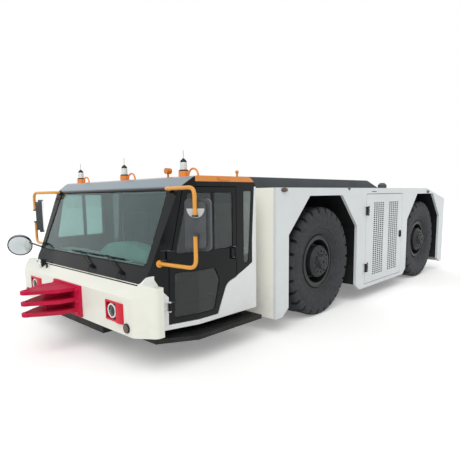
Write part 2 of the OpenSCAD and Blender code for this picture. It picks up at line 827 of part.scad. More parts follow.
// half a tyre's outline as radius and distance along the axle: bead, sidewall, groove foot,
// lug edge, inner end of a lug, groove end
tyre_bead = rim_width / 2 - rim_sheet;
tyre_half = tyre_width / 2;
tyre_mid_r = (bead_diameter / 2 + tyre_r) / 2;
lug_end = tyre_half - tread_shoulder - lug_reach;
lug_half_turn = 180 / lug_count * lug_share;
lug_r = tyre_r / cos(lug_half_turn);
bead_r = bead_diameter / 2 / cos(lug_half_turn);
tyre_section = [[bead_r, tyre_bead], [lug_r / tyre_r * (flange_diameter / 2 + 2 * face_gap), tyre_bead],
    [tyre_mid_r, tyre_half], [tyre_r - 2 * lug_depth, tyre_half], [lug_r, tyre_half - tread_shoulder],
    [lug_r, lug_end], [tyre_r - lug_depth, lug_end]];
tyre_stations = 2 * lug_count;
function is_lug(k) = k % 2 == 0;
// the middle of the first lug is at the foot of the wheel
function turn_at(k) = 360 / lug_count * floor(k / 2) + (is_lug(k) ? -1 : 1) * lug_half_turn - 90;
function tyre_index(k, s, i) = ((k % tyre_stations) * 2 + s) * len(tyre_section) + i;
// one stretch of the tyre's outline as pairs of side and point
function tyre_loop(k) = concat([for (i = [0 : 3]) [0, i]], [[0, is_lug(k) ? 4 : 6], [0, 5],
    [1, 5], [1, is_lug(k) ? 4 : 6]], [for (i = [3 : -1 : 0]) [1, i]]);
tyre_points = [for (k = [0 : tyre_stations - 1], s = [1, -1], p = tyre_section)
    [p[0] * cos(turn_at(k)), s * p[1], p[0] * sin(turn_at(k))]];
tyre_strips = [for (k = [0 : tyre_stations - 1])
    let (loop = tyre_loop(k), n = len(loop)) for (j = [0 : n - 1])
    let (u = loop[j], w = loop[(j + 1) % n])
    [tyre_index(k, u[0], u[1]), tyre_index(k + 1, u[0], u[1]), tyre_index(k + 1, w[0], w[1]),
        tyre_index(k, w[0], w[1])]];
tyre_walls = [for (k = [0 : tyre_stations - 1], s = [0, 1])
    let (wall = [for (i = [3 : 6]) tyre_index(k, s, i)])
    (s == 0) == is_lug(k) ? wall : [for (i = [3 : -1 : 0]) wall[i]]];
// tyre of a wheel about its middle, with lugs on both shoulders
module tyre() color("#151515")
    polyhedron(points = tyre_points, faces = concat(tyre_strips, tyre_walls));
module tyre_front_left() at_wheel(0, 1) tyre();
module tyre_front_right() at_wheel(0, -1) tyre();
module tyre_rear_left() at_wheel(-wheelbase, 1) tyre();
module tyre_rear_right() at_wheel(-wheelbase, -1) tyre();

// side plate with both arches and the engine doorway
module side_panel() color("#e9ebea") difference() {
    xz_prism(concat([[tail_x + tail_wrap, skirt_height]], arch_points(-wheelbase), arch_points(0),
        [[front_overhang, skirt_height], [front_overhang, deck_height], [slope_x, deck_height],
        [tail_x + tail_wrap, deck_at(tail_x + tail_wrap)]]), inner_y, side_y);
    block(-hatch_front - hatch_length - door_gap, -hatch_front + door_gap,
        inner_y - overrun, side_y + overrun,
        hatch_bottom - door_gap, hatch_bottom + hatch_height + door_gap);
}
// fixed pins and leaves of an engine door's hinges
module hatch_pins() color("#3a3c3e") for (z = hatch_hinges) {
    translate([hatch_axis_x, hatch_axis_y, z - leaf_thick])
        cylinder(h = hatch_hinge + 2 * leaf_thick, r = pin_radius);
    for (e = [z - leaf_thick - face_gap, z + hatch_hinge + face_gap]) {
        translate([hatch_axis_x, hatch_axis_y, e]) cylinder(h = leaf_thick, r = barrel_radius);
        block(hatch_axis_x, hatch_axis_x + leaf_width, side_y + face_gap, hatch_axis_y, e, e + leaf_thick);
        block(hatch_axis_x + leaf_pad, hatch_axis_x + leaf_width, side_y - leaf_thick,
            hatch_axis_y - pin_radius, e, e + leaf_thick);
    }
}
hatch_axis_x = -hatch_front + door_gap / 2;
hatch_axis_y = side_y + barrel_radius + face_gap;
hatch_hinges = [hatch_bottom + hinge_inset, hatch_bottom + hatch_height - hinge_inset - hatch_hinge];
module side_panel_left() {
    side_panel();
    hatch_pins();
}
module side_panel_right() mirror([0, 1, 0]) side_panel_left();

module engine_door() color("#e4e6e5") {
    front = -hatch_front;
    rear = front - hatch_length;
    field = (hatch_length - 2 * perf_side - strip_width) / 2;
    cols = floor((field - slit_length) / slit_pitch) + 1;
    rows = floor((hatch_height - 2 * perf_border - slit_height) / slit_rise) + 1;
    difference() {
        union() {
            block(rear, front, side_y - hatch_thick, side_y, hatch_bottom, hatch_bottom + hatch_height);
            for (z = hatch_hinges) {
                translate([hatch_axis_x, hatch_axis_y, z]) cylinder(h = hatch_hinge, r = barrel_radius);
                block(hatch_axis_x - leaf_width, hatch_axis_x, side_y - hatch_thick / 2, side_y + leaf_thick,
                    z, z + hatch_hinge);
            }
            block(rear + latch_size / 2, rear + latch_size, side_y - leaf_thick, side_y + 2 * leaf_thick,
                hatch_bottom + (hatch_height - latch_size) / 2,
                hatch_bottom + (hatch_height + latch_size) / 2);
        }
        for (z = hatch_hinges) translate([hatch_axis_x, hatch_axis_y, z - overrun])
            cylinder(h = hatch_hinge + 2 * overrun, r = pin_radius + running_gap);
        for (g = [0, 1]) translate([rear + perf_side + g * (field + strip_width), side_y + overrun,
            hatch_bottom + perf_border]) rotate([90, 0, 0])
            linear_extrude(height = hatch_thick + 2 * overrun)
            for (i = [0 : cols - 1], j = [0 : rows - 1])
                translate([i * slit_pitch, j * slit_rise]) square([slit_length, slit_height]);
        block(rear + perf_side - slit_rise, front - perf_side + slit_rise, side_y - hatch_thick - overrun,
            side_y - perf_sheet, hatch_bottom + perf_border - slit_rise,
            hatch_bottom + hatch_height - perf_border + slit_rise);
    }
}
module engine_door_left() engine_door();
module engine_door_right() mirror([0, 1, 0]) engine_door();

module shoulder_bulkhead() color("#efeee8") difference() {
    block(front_overhang - end_plate, front_overhang, -inner_y, inner_y, skirt_height, deck_height);
    block(front_overhang - end_plate - overrun, front_overhang + overrun, -frame_half, frame_half,
        skirt_height - overrun, frame_top);
}
module tail_panel() color("#e9ebea") {
    tail_side_points = [[tail_x, skirt_height], [tail_x + tail_wrap, skirt_height],
        [tail_x + tail_wrap, deck_at(tail_x + tail_wrap)], [tail_x, deck_at(tail_x)]];
    both() xz_prism(tail_side_points, inner_y, side_y);
    block(tail_x, tail_x + end_plate, -side_y, side_y, skirt_height, deck_at(tail_x));
}
module deck() color("#8b8e90") difference() {
    xz_prism([[tail_x + end_plate, deck_at(tail_x + end_plate) - deck_plate_thick],
        [slope_x, deck_height - deck_plate_thick],
        [front_overhang - end_plate, deck_height - deck_plate_thick],
        [front_overhang - end_plate, deck_height], [slope_x, deck_height],
        [tail_x + end_plate, deck_at(tail_x + end_plate)]], -inner_y, inner_y);
    block(-cover_top_end, cover_front - 2 * cover_sheet, -cover_half + 2 * cover_sheet,
        cover_half - 2 * cover_sheet, deck_height - deck_plate_thick - overrun, deck_height + overrun);
}
module arch_liners() color("#232426") both() for (x = [0, -wheelbase]) difference() {
    xz_prism(liner_points(x, liner_sheet), frame_half, inner_y);
    translate([0, 0, -overrun]) xz_prism(liner_points(x, 0), frame_half - overrun, inner_y + overrun);
    xz_prism(liner_points(x, 0), frame_half - overrun, inner_y + overrun);
}
module deck_cover() color("#4a4d50") {
    outer = [[-cover_top_end - cover_slope, deck_height], [cover_front, deck_height],
        [cover_front, deck_height + cover_rise], [-cover_top_end, deck_height + cover_rise]];
    difference() {
        xz_prism(outer, -cover_half, cover_half);
        translate([0, 0, -cover_sheet - overrun]) xz_prism(inset(outer, cover_sheet),
            -cover_half + cover_sheet, cover_half - cover_sheet);
        translate([0, 0, -overrun]) xz_prism(inset(outer, cover_sheet),
            -cover_half + cover_sheet, cover_half - cover_sheet);
        for (i = [0 : slot_count - 1]) block(-cover_top_end + slot_pitch * (i + 1),
            -cover_top_end + slot_pitch * (i + 1) + slot_width, -slot_half, slot_half,
            deck_height + cover_rise - 2 * cover_sheet, deck_height + cover_rise + overrun);
    }
}
module breather_stub() color("#3d4042") {
    x = -cover_top_end - cover_slope - stub_behind;
    translate([x, stub_side, deck_height]) cylinder(h = stub_height - stub_edge, r = stub_radius);
    translate([x, stub_side, deck_height + stub_height - stub_edge])
        cylinder(h = stub_edge, r1 = stub_radius, r2 = stub_radius - stub_edge);
}

module bumper_body() intersection() {
    half_plan = [[bumper_back, bumper_half], [bumper_front - bumper_cut, bumper_half],
        [bumper_front, bumper_flat]];
    plan = concat([for (p = half_plan) [p[0], -p[1]]], [for (i = [2 : -1 : 0]) half_plan[i]]);
    xy_prism(rounded(plan, [0, bumper_radius, bumper_radius, bumper_radius, bumper_radius, 0]),
        bumper_bottom, scuttle_bottom);
    xz_prism([[bumper_back, bumper_bottom], [bumper_front, bumper_bottom],
        [bumper_front, bumper_face_top], [bumper_front - ledge_crease_back, ledge_crease],
        [scuttle_foot, scuttle_bottom], [bumper_back, scuttle_bottom]], -bumper_half, bumper_half);
}
// both headlamps are the same unit, its inner or outer edge at these places
lamp_edges = [lamp_inner, -lamp_inner - lamp_width];
lamp_mid_z = lamp_bottom + lamp_height / 2;
lamp_back = bumper_front - lamp_pocket;
// the space inside a headlamp frame's border, from a place along X forwards
module lamp_space(x0, border, x1) block(x0, x1, border, lamp_width - border,
    lamp_bottom + border, lamp_bottom + lamp_height - border);
module bumper() color("#f0f1ef") difference() {
    bumper_body();
    for (y = lamp_edges) translate([0, y, 0]) lamp_space(lamp_back, 0, bumper_front + overrun);
}
module headlamp_frames() color("#c41e24") for (y = lamp_edges) translate([0, y, 0]) {
    difference() {
        lamp_space(lamp_back, 0, bumper_front + lamp_proud);
        lamp_space(lamp_back + lamp_sheet, lamp_border, bumper_front + lamp_proud + overrun);
    }
    cheek = [for (i = [0 : arc_steps]) [bumper_front + cheek_proud * cos(90 * i / arc_steps),
        lamp_width + lamp_cheek * sin(90 * i / arc_steps)]];
    xy_prism(concat([[bumper_front, lamp_width - lamp_border]],
        [[bumper_front + cheek_proud, lamp_width - lamp_border]], cheek),
        lamp_bottom, lamp_bottom + lamp_height);
}
module headlamps() color("#dfe6ea") for (y = lamp_edges) translate([0, y, 0]) {
    depth = lamp_pocket - 2 * lamp_sheet;
    dome = [for (i = [0 : arc_steps]) [lamp_radius * cos(90 * i / arc_steps),
        depth + lens_bulge * sin(90 * i / arc_steps)]];
    lamp_space(lamp_back + lamp_sheet, lamp_border, lamp_back + 2 * lamp_sheet);
    translate([lamp_back + lamp_sheet, lamp_width / 2, lamp_mid_z]) rotate([0, 90, 0])
        rotate_extrude() polygon(concat([[0, 0], [lamp_radius, 0]], dome));
}

// hitch jaw with three tines, its plate's back face at x = 0
module hitch() color("#a3122c") {
    tip = hitch_plate + tine_length;
    block(0, hitch_plate, -hitch_plate_half, hitch_plate_half, hitch_bottom, hitch_bottom + hitch_height);
    difference() {
        union() for (k = [-1, 0, 1]) {
            z0 = tine_middle + k * tine_pitch - tine_thick / 2;
            edge = [[0, tine_root], [hitch_plate + tine_wide_at, tine_wide],
                [hitch_plate + tine_neck_at, tine_neck], [tip - tine_tip, tine_tip]];
            xy_prism(concat([for (p = edge) [p[0], -p[1]]], [for (i = [3 : -1 : 0]) edge[i]]),
                z0, z0 + tine_thick);
            translate([tip - tine_tip, 0, z0]) cylinder(h = tine_thick, r = tine_tip);
        }
        translate([tip - tine_tip, 0, 0]) cylinder(h = deck_height, r = tow_bore);
    }
    block(0, hitch_plate + rib_length, -rib_width / 2, rib_width / 2, tine_middle - tine_pitch,
        tine_middle + tine_pitch);
}
module front_hitch() translate([bumper_front, 0, 0]) hitch();
module rear_hitch() translate([tail_x, 0, 0]) rotate([0, 0, 180]) hitch();

module running_boards() color("#1d1e20") both()
    xy_prism([[cab_rear, frame_half], [bumper_back - cab_wall, frame_half],
        [bumper_back - cab_wall, cab_side(bumper_back)],
        [cab_taper + board_out, cab_half + board_out], [cab_rear, cab_half + board_out]],
        board_top - board_thick, board_top);

// the cab's outer form moved inwards by t
module cab_form(t) intersection() {
    xy_prism(inset(cab_plan, t), cab_bottom, roof_height);
    xz_prism(rounded(inset(cab_profile, t), [for (r = profile_rounds) max(r - t, 0)]),
        -cab_half, cab_half);
}
module cab_shell() difference() {
    cab_form(0);
    cab_form(cab_wall);
}
// the cab sides between two depths under their outer face
module cab_sides(t0, t1) intersection() {
    difference() {
        xy_prism(inset(cab_plan, t0), cab_bottom, roof_height);
        xy_prism(inset(cab_plan, t1), cab_bottom - overrun, roof_height + overrun);
    }
    xz_prism(rounded(cab_profile, profile_rounds), -cab_half, cab_half);
}
module through_sides(pts) both() xz_prism(pts, nose_half - 2 * cab_wall, cab_half + overrun);
module door_zone() intersection() {
    through_sides(inset(rounded(door_outline, door_rounds), -door_gap));
    difference() {
        xy_prism(inset(cab_plan, -overrun), cab_bottom, roof_height);
        xy_prism(inset(cab_plan, cab_wall + door_gap), cab_bottom - overrun, roof_height + overrun);
    }
}
module floor_zone() xy_prism(inset(cab_plan, cab_wall), cab_bottom - overrun, floor_top);
module roof_zone() block(cab_rear - overrun, roof_front, -cab_half, cab_half,
    roof_split, roof_height + overrun);
module rear_zone() block(cab_rear - overrun, cab_rear + cab_wall, -cab_half + cab_wall,
    cab_half - cab_wall, cab_bottom - overrun, roof_split);
panel_outline = [[cab_rear - overrun, cab_bottom - overrun], [door_waist_x, cab_bottom - overrun],
    [door_waist_x, door_bottom], [door_heel, door_bottom], [door_haunch, door_haunch_z],
    [door_rear, door_rear_low], [quarter_mid + quarter_frame, quarter_bottom - quarter_frame],
    [quarter_mid - quarter_frame, quarter_bottom], [quarter_mid - quarter_frame, quarter_mid_z],
    [quarter_rear - quarter_frame, quarter_top + quarter_frame],
    [cab_rear - overrun, quarter_top + quarter_frame]];
sill_outline = [[door_heel, cab_bottom - overrun], [door_waist_x, cab_bottom - overrun],
    [door_waist_x, door_bottom], [door_heel, door_bottom]];
module panel_zone() both() {
    xz_prism(panel_outline, cab_half - cab_wall, cab_half + overrun);
    xz_prism(sill_outline, nose_half - cab_wall, cab_half + overrun);
}
horn_side = [for (p = horn_side_shares) [screen_foot + (door_waist_x - screen_foot) * (1 - p[0]),
    corner_low + (corner_peak - corner_low) * p[1]]];
horn_front = [for (p = horn_front_shares) [horn_inner + (cab_side(screen_foot) - horn_inner) * p[0],
    scuttle_bottom + (corner_peak - scuttle_bottom) * p[1]]];
function backwards(list) = [for (i = [len(list) - 1 : -1 : 0]) list[i]];
module corner_zone() both() {
    xz_prism(concat([[door_waist_x, cab_bottom - overrun], [bumper_back + overrun, cab_bottom - overrun],
        [bumper_back + overrun, corner_peak]], backwards(horn_side)), nose_half - cab_wall, cab_half);
    yz_prism(concat([[horn_inner, scuttle_bottom - overrun], [cab_half, scuttle_bottom - overrun],
        [cab_half, corner_peak]], backwards(horn_front)), bumper_back - cab_wall, cab_nose);
}
screen_outline = [[-screen_half, screen_bottom + screen_border], [screen_half, screen_bottom + screen_border],
    [screen_half, screen_top - screen_border], [-screen_half, screen_top - screen_border]];
module screen_zone() yz_prism(all_round(screen_outline, screen_radius), screen_head - 2 * cab_wall, cab_nose);
quarter_rounds = [pane_radius, pane_radius, pane_radius, 0, pane_radius];
module quarter_zone() through_sides(rounded(quarter_outline, quarter_rounds));
upper_pane = inset([[door_rear, rail_top - door_frame], [door_waist_x, rail_top - door_frame],
    [door_head, door_top], [door_rear, door_top]], door_frame);
lower_pane = inset([[door_heel, door_bottom], [door_front, door_bottom],
    [door_waist_x, rail_bottom + door_frame], [door_heel, rail_bottom + door_frame],
    [low_nose, low_nose_z]], door_frame);
module pane_zone() {
    difference() {
        through_sides(all_round(upper_pane, pane_radius));
        through_sides([[bar_place - bar_width / 2, rail_bottom], [bar_place + bar_width / 2, rail_bottom],
            [bar_place + bar_width / 2, roof_height], [bar_place - bar_width / 2, roof_height]]);
    }
    through_sides(all_round(lower_pane, pane_radius));
}

module cab_frame() color("#17181a") {
    difference() {
        cab_shell();
        floor_zone();
        roof_zone();
        rear_zone();
        panel_zone();
        corner_zone();
        door_zone();
        screen_zone();
        quarter_zone();
    }
    door_pin(hinge_high);
}
module cab_floor() color("#2f3133") intersection() {
    cab_shell();
    difference() {
        floor_zone();
        rear_zone();
        corner_zone();
    }
}
module cab_rear_wall() color("#e6e8e7") intersection() {
    cab_shell();
    rear_zone();
}
module cab_side_panels() color("#eceeed") difference() {
    intersection() {
        cab_shell();
        panel_zone();
    }
    floor_zone();
    door_zone();
}
module cab_corner_panels() color("#eceeed") {
    difference() {
        intersection() {
            cab_shell();
            corner_zone();
        }
        door_zone();
    }
    door_pin(hinge_low);
}
module cab_roof() color("#e0672a") intersection() {
    cab_shell();
    roof_zone();
}
module windscreen() color("#33454b") intersection() {
    difference() {
        cab_form(glass_inset);
        cab_form(glass_inset + glass_thick);
    }
    screen_zone();
}
module quarter_windows() color("#2b393e") intersection() {
    cab_sides(glass_inset, glass_inset + glass_thick);
    quarter_zone();
}

// hinge axis of the left cab door, outside the tapered cab side
door_axis = [door_front + door_gap / 2,
    cab_side(door_front + door_gap / 2) + (barrel_radius + face_gap) / cos(taper_angle)];
// fixed pin, end knuckles and leaf of a cab door hinge at a height
module door_pin(z) both() translate([door_axis[0], door_axis[1], z]) rotate([0, 0, -taper_angle]) {
    translate([0, 0, -leaf_thick]) cylinder(h = door_hinge + 2 * leaf_thick, r = pin_radius);
    for (e = [-leaf_thick - face_gap, door_hinge + face_gap]) {
        translate([0, 0, e]) cylinder(h = leaf_thick, r = barrel_radius);
        block(0, leaf_width, -barrel_radius - leaf_thick, -barrel_radius + leaf_thick, e, e + leaf_thick);
    }
}
module left_only() intersection() {
    children();
    block(cab_rear, cab_nose, 0, side_y, 0, roof_height);
}
module cab_door() color("#1b1c1e") {
    difference() {
        union() {
            left_only() intersection() {
                cab_sides(0, cab_wall);
                xz_prism(rounded(door_outline, door_rounds), nose_half - 2 * cab_wall, cab_half);
            }
            for (z = [hinge_low, hinge_high]) {
                translate([door_axis[0], door_axis[1], z]) rotate([0, 0, -taper_angle]) {
                    cylinder(h = door_hinge, r = barrel_radius);
                    block(-leaf_width, 0, -barrel_radius, -barrel_radius + leaf_thick, 0, door_hinge);
                    block(-leaf_width, -leaf_width + leaf_pad, -barrel_radius - leaf_thick, -barrel_radius,
                        0, door_hinge);
                }
            }
        }
        pane_zone();
        for (z = [hinge_low, hinge_high]) translate([door_axis[0], door_axis[1], z - overrun])
            cylinder(h = door_hinge + 2 * overrun, r = pin_radius + running_gap);
    }
    handle_x = door_rear + door_frame;
    tube_run([[handle_x, cab_half - handle_radius, rail_top - handle_length],
        [handle_x, cab_half + handle_off, rail_top - handle_length],
        [handle_x, cab_half + handle_off, rail_top],
        [handle_x, cab_half - handle_radius, rail_top]], handle_radius);
}
module door_glass() color("#2b393e") left_only() intersection() {
    cab_sides(glass_inset, glass_inset + glass_thick);
    pane_zone();
}
module cab_door_left() cab_door();
module cab_door_right() mirror([0, 1, 0]) cab_door();
module door_glass_left() door_glass();
module door_glass_right() mirror([0, 1, 0]) door_glass();

module dash_form() {
    top = floor_top + dash_rise;
    front = bumper_back - cab_wall;
    xz_prism([[front - front_beam, floor_top + front_beam], [front, floor_top + front_beam],
        [front, top - dash_top], [screen_foot - 2 * cab_wall, top], [dash_rear + cab_wall, top],
        [dash_rear, top - cab_wall], [dash_rear, top - dash_top],
        [front - front_beam, top - 2 * dash_top]], -dash_half, dash_half);
}
module dashboard() color("#93a8a6") dash_form();
module steering_column() color("#202224") difference() {
    column_foot = [dash_rear, seat_side, floor_top + dash_rise - dash_top / 2];
    translate(column_foot) rotate([0, -90 + wheel_tilt, 0]) {
        cylinder(h = column_length, r = column_radius);
        translate([0, 0, column_length]) {
            rotate_extrude() translate([wheel_radius, 0]) circle(r = wheel_grip);
            for (a = [0, 120, 240]) rotate([0, 0, a]) rod([0, 0, 0], [wheel_radius, 0, 0], spoke_radius);
            translate([0, 0, -column_radius]) cylinder(h = 2 * column_radius, r = 2 * column_radius);
        }
    }
    dash_form();
}
module seat() {
    top = floor_top + seat_rise;
    block(seat_rear + back_thick, seat_rear + back_thick + seat_length, -seat_width / 2, seat_width / 2,
        top - cushion_thick, top);
    block(seat_rear, seat_rear + back_thick, -seat_width / 2, seat_width / 2,
        top - cushion_thick, top + back_height);
    block(seat_rear + back_thick, seat_rear + seat_length, -seat_foot / 2, seat_foot / 2,
        floor_top, top - cushion_thick);
}
module seats() color("#3c4043") for (s = [-1, 1]) translate([0, s * seat_side, 0]) seat();

module wipers() color("#101112") {
    scuttle_mid = [(scuttle_foot + screen_foot) / 2, (scuttle_bottom + screen_bottom) / 2];
    up = unit([screen_foot - scuttle_foot, screen_bottom - scuttle_bottom]);
    lean = unit(screen_lean);
    for (y = wiper_pivots) {
        base = [scuttle_mid[0], y, scuttle_mid[1]];
        out = [up[1], 0, -up[0]];
        rod(base, base + out * cab_wall, 2 * wiper_radius);
        knee = base + out * (cab_wall - wiper_radius);
        tip = [screen_foot, y - wiper_arm * cos(wiper_lean), screen_bottom]
            + [lean[0], 0, lean[1]] * wiper_arm * sin(wiper_lean)
            + [lean[1], 0, -lean[0]] * 3 * wiper_radius;
        rod(knee, tip, wiper_radius);
        blade = [0, 1, 0];
        rod(tip - blade * wiper_blade * blade_low_share, tip + blade * wiper_blade * (1 - blade_low_share),
            wiper_radius);
    }
}

module mirror_arms() color("#e0672a") difference() {
    both() mirror_tubes();
    cab_form(0);
}
module mirror_tubes() {
    foot_high = [screen_head - cab_wall, arm_foot_y, screen_top - screen_border];
    stand_high = [screen_head + arm_stand, arm_foot_y, mirror_high];
    foot_low = [screen_foot - 2 * cab_wall, cab_side(screen_foot - 2 * cab_wall) - mirror_tube, mirror_low];
    tube_run([foot_high, stand_high, [mirror_x, mirror_y, mirror_high],
        [mirror_x, mirror_y, mirror_mid + mirror_height / 2 - tube_lap]], mirror_tube);
    tube_run([foot_low, [mirror_x, mirror_y, mirror_low],
        [mirror_x, mirror_y, mirror_mid - mirror_height / 2 + tube_lap]], mirror_tube);
}
mirror_outline = [[-mirror_width / 2, -mirror_height / 2], [mirror_width / 2, -mirror_height / 2],
    [mirror_width / 2, mirror_height / 2], [-mirror_width / 2, mirror_height / 2]];
// mirror head behind its tubes: a rim with the glass side to the rear and a stepped back
module mirror_heads() color("#5a5d60") both()
    translate([mirror_x, mirror_y, mirror_mid]) rotate([0, 0, mirror_turn]) rotate([90, 0, 90])
        translate([0, 0, -mirror_depth - mirror_tube - tube_gap]) {
            linear_extrude(height = mirror_rim) polygon(all_round(mirror_outline, mirror_corner_radius));
            linear_extrude(height = mirror_depth)
                polygon(all_round(inset(mirror_outline, mirror_step), mirror_corner_radius));
        }
module round_mirror() color("#141516") difference() {
    round_mirror_arm();
    cab_form(0);
}
module round_mirror_arm() {
    middle = [round_x, -round_y, round_z];
    facing = [cos(round_dip) * cos(round_turn), cos(round_dip) * sin(round_turn), -sin(round_dip)];
    foot = [screen_foot, -cab_side(screen_foot) + cab_wall / 2, round_z];
    along = unit((foot - middle) - facing * ((foot - middle) * facing));
    rod(middle - facing * round_mirror_thick, middle, round_mirror_radius);
    rod(middle - facing * round_mirror_thick / 2 + along * (round_mirror_radius - round_mirror_thick),
        foot, round_arm);
}

beacon_places = [-beacon_y, 0, beacon_y];
module beacons() color("#eef3f2") for (y = beacon_places)
    translate([beacon_x, y, roof_height + beacon_base_height]) {
        cylinder(h = beacon_height - beacon_lens, r = beacon_lens);
        translate([0, 0, beacon_height - beacon_lens]) sphere(r = beacon_lens);
        cylinder(h = beacon_height + whip_height, r = whip_radius);
    }
module beacon_guards() color("#d8652b") for (y = beacon_places)
    translate([beacon_x, y, roof_height]) {
        cylinder(h = beacon_base_height, r = beacon_base);
        translate([0, hoop_off, 0]) rotate([90, 0, 90]) rotate_extrude(angle = 180)
            translate([hoop_radius, 0]) circle(r = hoop_tube, $fn = 24);
    }
module marker_lamps() color("#3a3230") both() {
    for (p = [[front_overhang - skirt_cut - marker_radius, deck_height - marker_radius],
        [slope_x - 2 * marker_radius, deck_at(slope_x - 2 * marker_radius) - 2 * marker_radius]])
        rod([p[0], side_y, p[1]], [p[0], side_y + marker_height, p[1]], marker_radius);
    front = [bumper_front, lamp_inner + lamp_width + lamp_cheek + 2 * marker_radius,
        lamp_bottom - marker_radius];
    rod(front, front + [marker_height, 0, 0], marker_radius);
}
module roof_lamps() color("#e08a2c") {
    lamp = [roof_lamp_x, roof_lamp_y, roof_height + roof_lamp_rise];
    rod([lamp[0], lamp[1], roof_height], lamp, stalk_radius);
    rod(lamp - [roof_lamp, 0, 0], lamp + [roof_lamp, 0, 0], roof_lamp);
    translate([knob_x, knob_y, roof_height]) cylinder(h = knob_rise, r = stalk_radius);
    translate([knob_x, knob_y, roof_height + knob_rise]) sphere(r = knob_radius);
    both() block(strip_front - strip_length, strip_front, cab_half, cab_half + strip_thick,
        roof_height - (roof_skirt + strip_height) / 2, roof_height - (roof_skirt - strip_height) / 2);
}
// spot lamp and marker post that stand on the right half of the bumper's ledge
module ledge_lamp_right() color("#2a2c2e") difference() {
    union() {
        lamp = [bumper_front - ledge_lamp_back, -ledge_lamp_y, ledge_lamp_z];
        rod(lamp - [ledge_lamp_depth / 2, 0, 0], lamp + [ledge_lamp_depth / 2, 0, 0], ledge_lamp);
        rod([lamp[0], lamp[1], ledge_crease], lamp, stalk_radius);
        rod([lamp[0], -ledge_post_y, ledge_crease], [lamp[0], -ledge_post_y, ledge_post_top], stalk_radius);
    }
    bumper_body();
}
module tail_lamps() color("#b3151c") both()
    block(tail_x - tail_thick, tail_x, tail_side - tail_width / 2, tail_side + tail_width / 2,
        tail_z - tail_height / 2, tail_z + tail_height / 2);

module placed() translate([axle_shift, 0, 0]) children();
placed() chassis_frame();
placed() engine_block();
placed() front_axle();
placed() rear_axle();
placed() side_panel_left();
placed() side_panel_right();
placed() shoulder_bulkhead();
placed() tail_panel();
placed() deck();
placed() arch_liners();
placed() deck_cover();
placed() breather_stub();
placed() bumper();
placed() headlamp_frames();
placed() headlamps();
placed() front_hitch();
placed() rear_hitch();
placed() running_boards();
placed() cab_floor();
placed() cab_rear_wall();
placed() cab_side_panels();
placed() cab_corner_panels();
placed() cab_frame();
placed() cab_roof();
placed() windscreen();
placed() quarter_windows();
placed() dashboard();
placed() steering_column();
placed() seats();
placed() wipers();
placed() mirror_arms();
placed() mirror_heads();
placed() round_mirror();
placed() beacons();
placed() beacon_guards();
placed() marker_lamps();
placed() tail_lamps();
placed() roof_lamps();
placed() ledge_lamp_right();
placed() cab_door_left();
placed() door_glass_left();
placed() cab_door_right();
placed() door_glass_right();
placed() engine_door_left();
placed() engine_door_right();
placed() knuckle_front_left();
placed() knuckle_front_right();
placed() knuckle_rear_left();
placed() knuckle_rear_right();
placed() wheel_front_left();
placed() wheel_front_right();
placed() wheel_rear_left();
placed() wheel_rear_right();
placed() tyre_front_left();
placed() tyre_front_right();
placed() tyre_rear_left();
placed() tyre_rear_right();
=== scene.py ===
# %% [markdown]
# # A towbar pushback tractor, dressed in Blender
#
# The tractor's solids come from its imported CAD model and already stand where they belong.
# Here each solid gets a finish, and the pieces that CAD left plain (tyres, lamps, wipers,
# seats, fasteners, seals) are modelled around them. Lengths are metres: +X is forward,
# +Y is the driver's left and +Z is up.

# %% Load the solids
import bpy
import math
from mathutils import Matrix, Vector


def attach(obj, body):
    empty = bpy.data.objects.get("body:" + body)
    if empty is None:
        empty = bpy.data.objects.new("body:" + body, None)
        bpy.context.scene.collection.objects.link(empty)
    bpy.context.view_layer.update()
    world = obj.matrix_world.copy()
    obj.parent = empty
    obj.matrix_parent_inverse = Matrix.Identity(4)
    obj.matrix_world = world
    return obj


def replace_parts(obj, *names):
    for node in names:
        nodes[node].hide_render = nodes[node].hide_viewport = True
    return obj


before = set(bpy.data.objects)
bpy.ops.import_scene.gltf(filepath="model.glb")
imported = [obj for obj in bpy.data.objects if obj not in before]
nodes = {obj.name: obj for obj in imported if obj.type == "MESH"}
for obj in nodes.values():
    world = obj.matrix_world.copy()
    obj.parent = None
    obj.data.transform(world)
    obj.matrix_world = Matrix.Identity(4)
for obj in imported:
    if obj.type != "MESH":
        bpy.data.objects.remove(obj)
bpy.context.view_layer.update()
MM = 0.001
FRONT_AXLE = 0.930


def at(x, y, z):
    """A place given in millimetres, with x counted from the front axle, as on the drawing."""
    return Vector((FRONT_AXLE + x * MM, y * MM, z * MM))


# %% [markdown]
# ## The camera
#
# The photograph was taken at a standing person's eye height, off the front left corner, with
# a moderate lens. A camera can be turned by hand until it looks right, but here its place and
# angles were worked out from points of the tractor whose positions are known, so the picture
# and the solids line up. The small shift moves the frame as a crop of the photograph does.

# %% Camera from its place and its three angles
EYE = Vector((5.999, 4.524, 1.700))
YAW, PITCH, ROLL = (math.radians(a) for a in (44.632, 7.324, -0.84))
LENS_MM = 32.67
SHIFT = (0.0151, 0.0410)

look = Vector((-math.cos(YAW) * math.cos(PITCH), -math.sin(YAW) * math.cos(PITCH), -math.sin(PITCH)))
right = look.cross(Vector((0, 0, 1))).normalized()
up = right.cross(look)
cam_x = math.cos(ROLL) * right + math.sin(ROLL) * up
cam_y = math.cos(ROLL) * up - math.sin(ROLL) * right
camera_data = bpy.data.cameras.new("camera")
camera_data.lens = LENS_MM
camera_data.shift_x, camera_data.shift_y = SHIFT
camera = bpy.data.objects.new("camera", camera_data)
turn = Matrix((cam_x, cam_y, -look)).transposed().to_4x4()
camera.matrix_world = Matrix.Translation(EYE) @ turn
bpy.context.collection.objects.link(camera)
bpy.context.scene.camera = camera
bpy.context.scene.view_settings.view_transform = "Standard"
print("camera at", tuple(round(v, 3) for v in EYE))

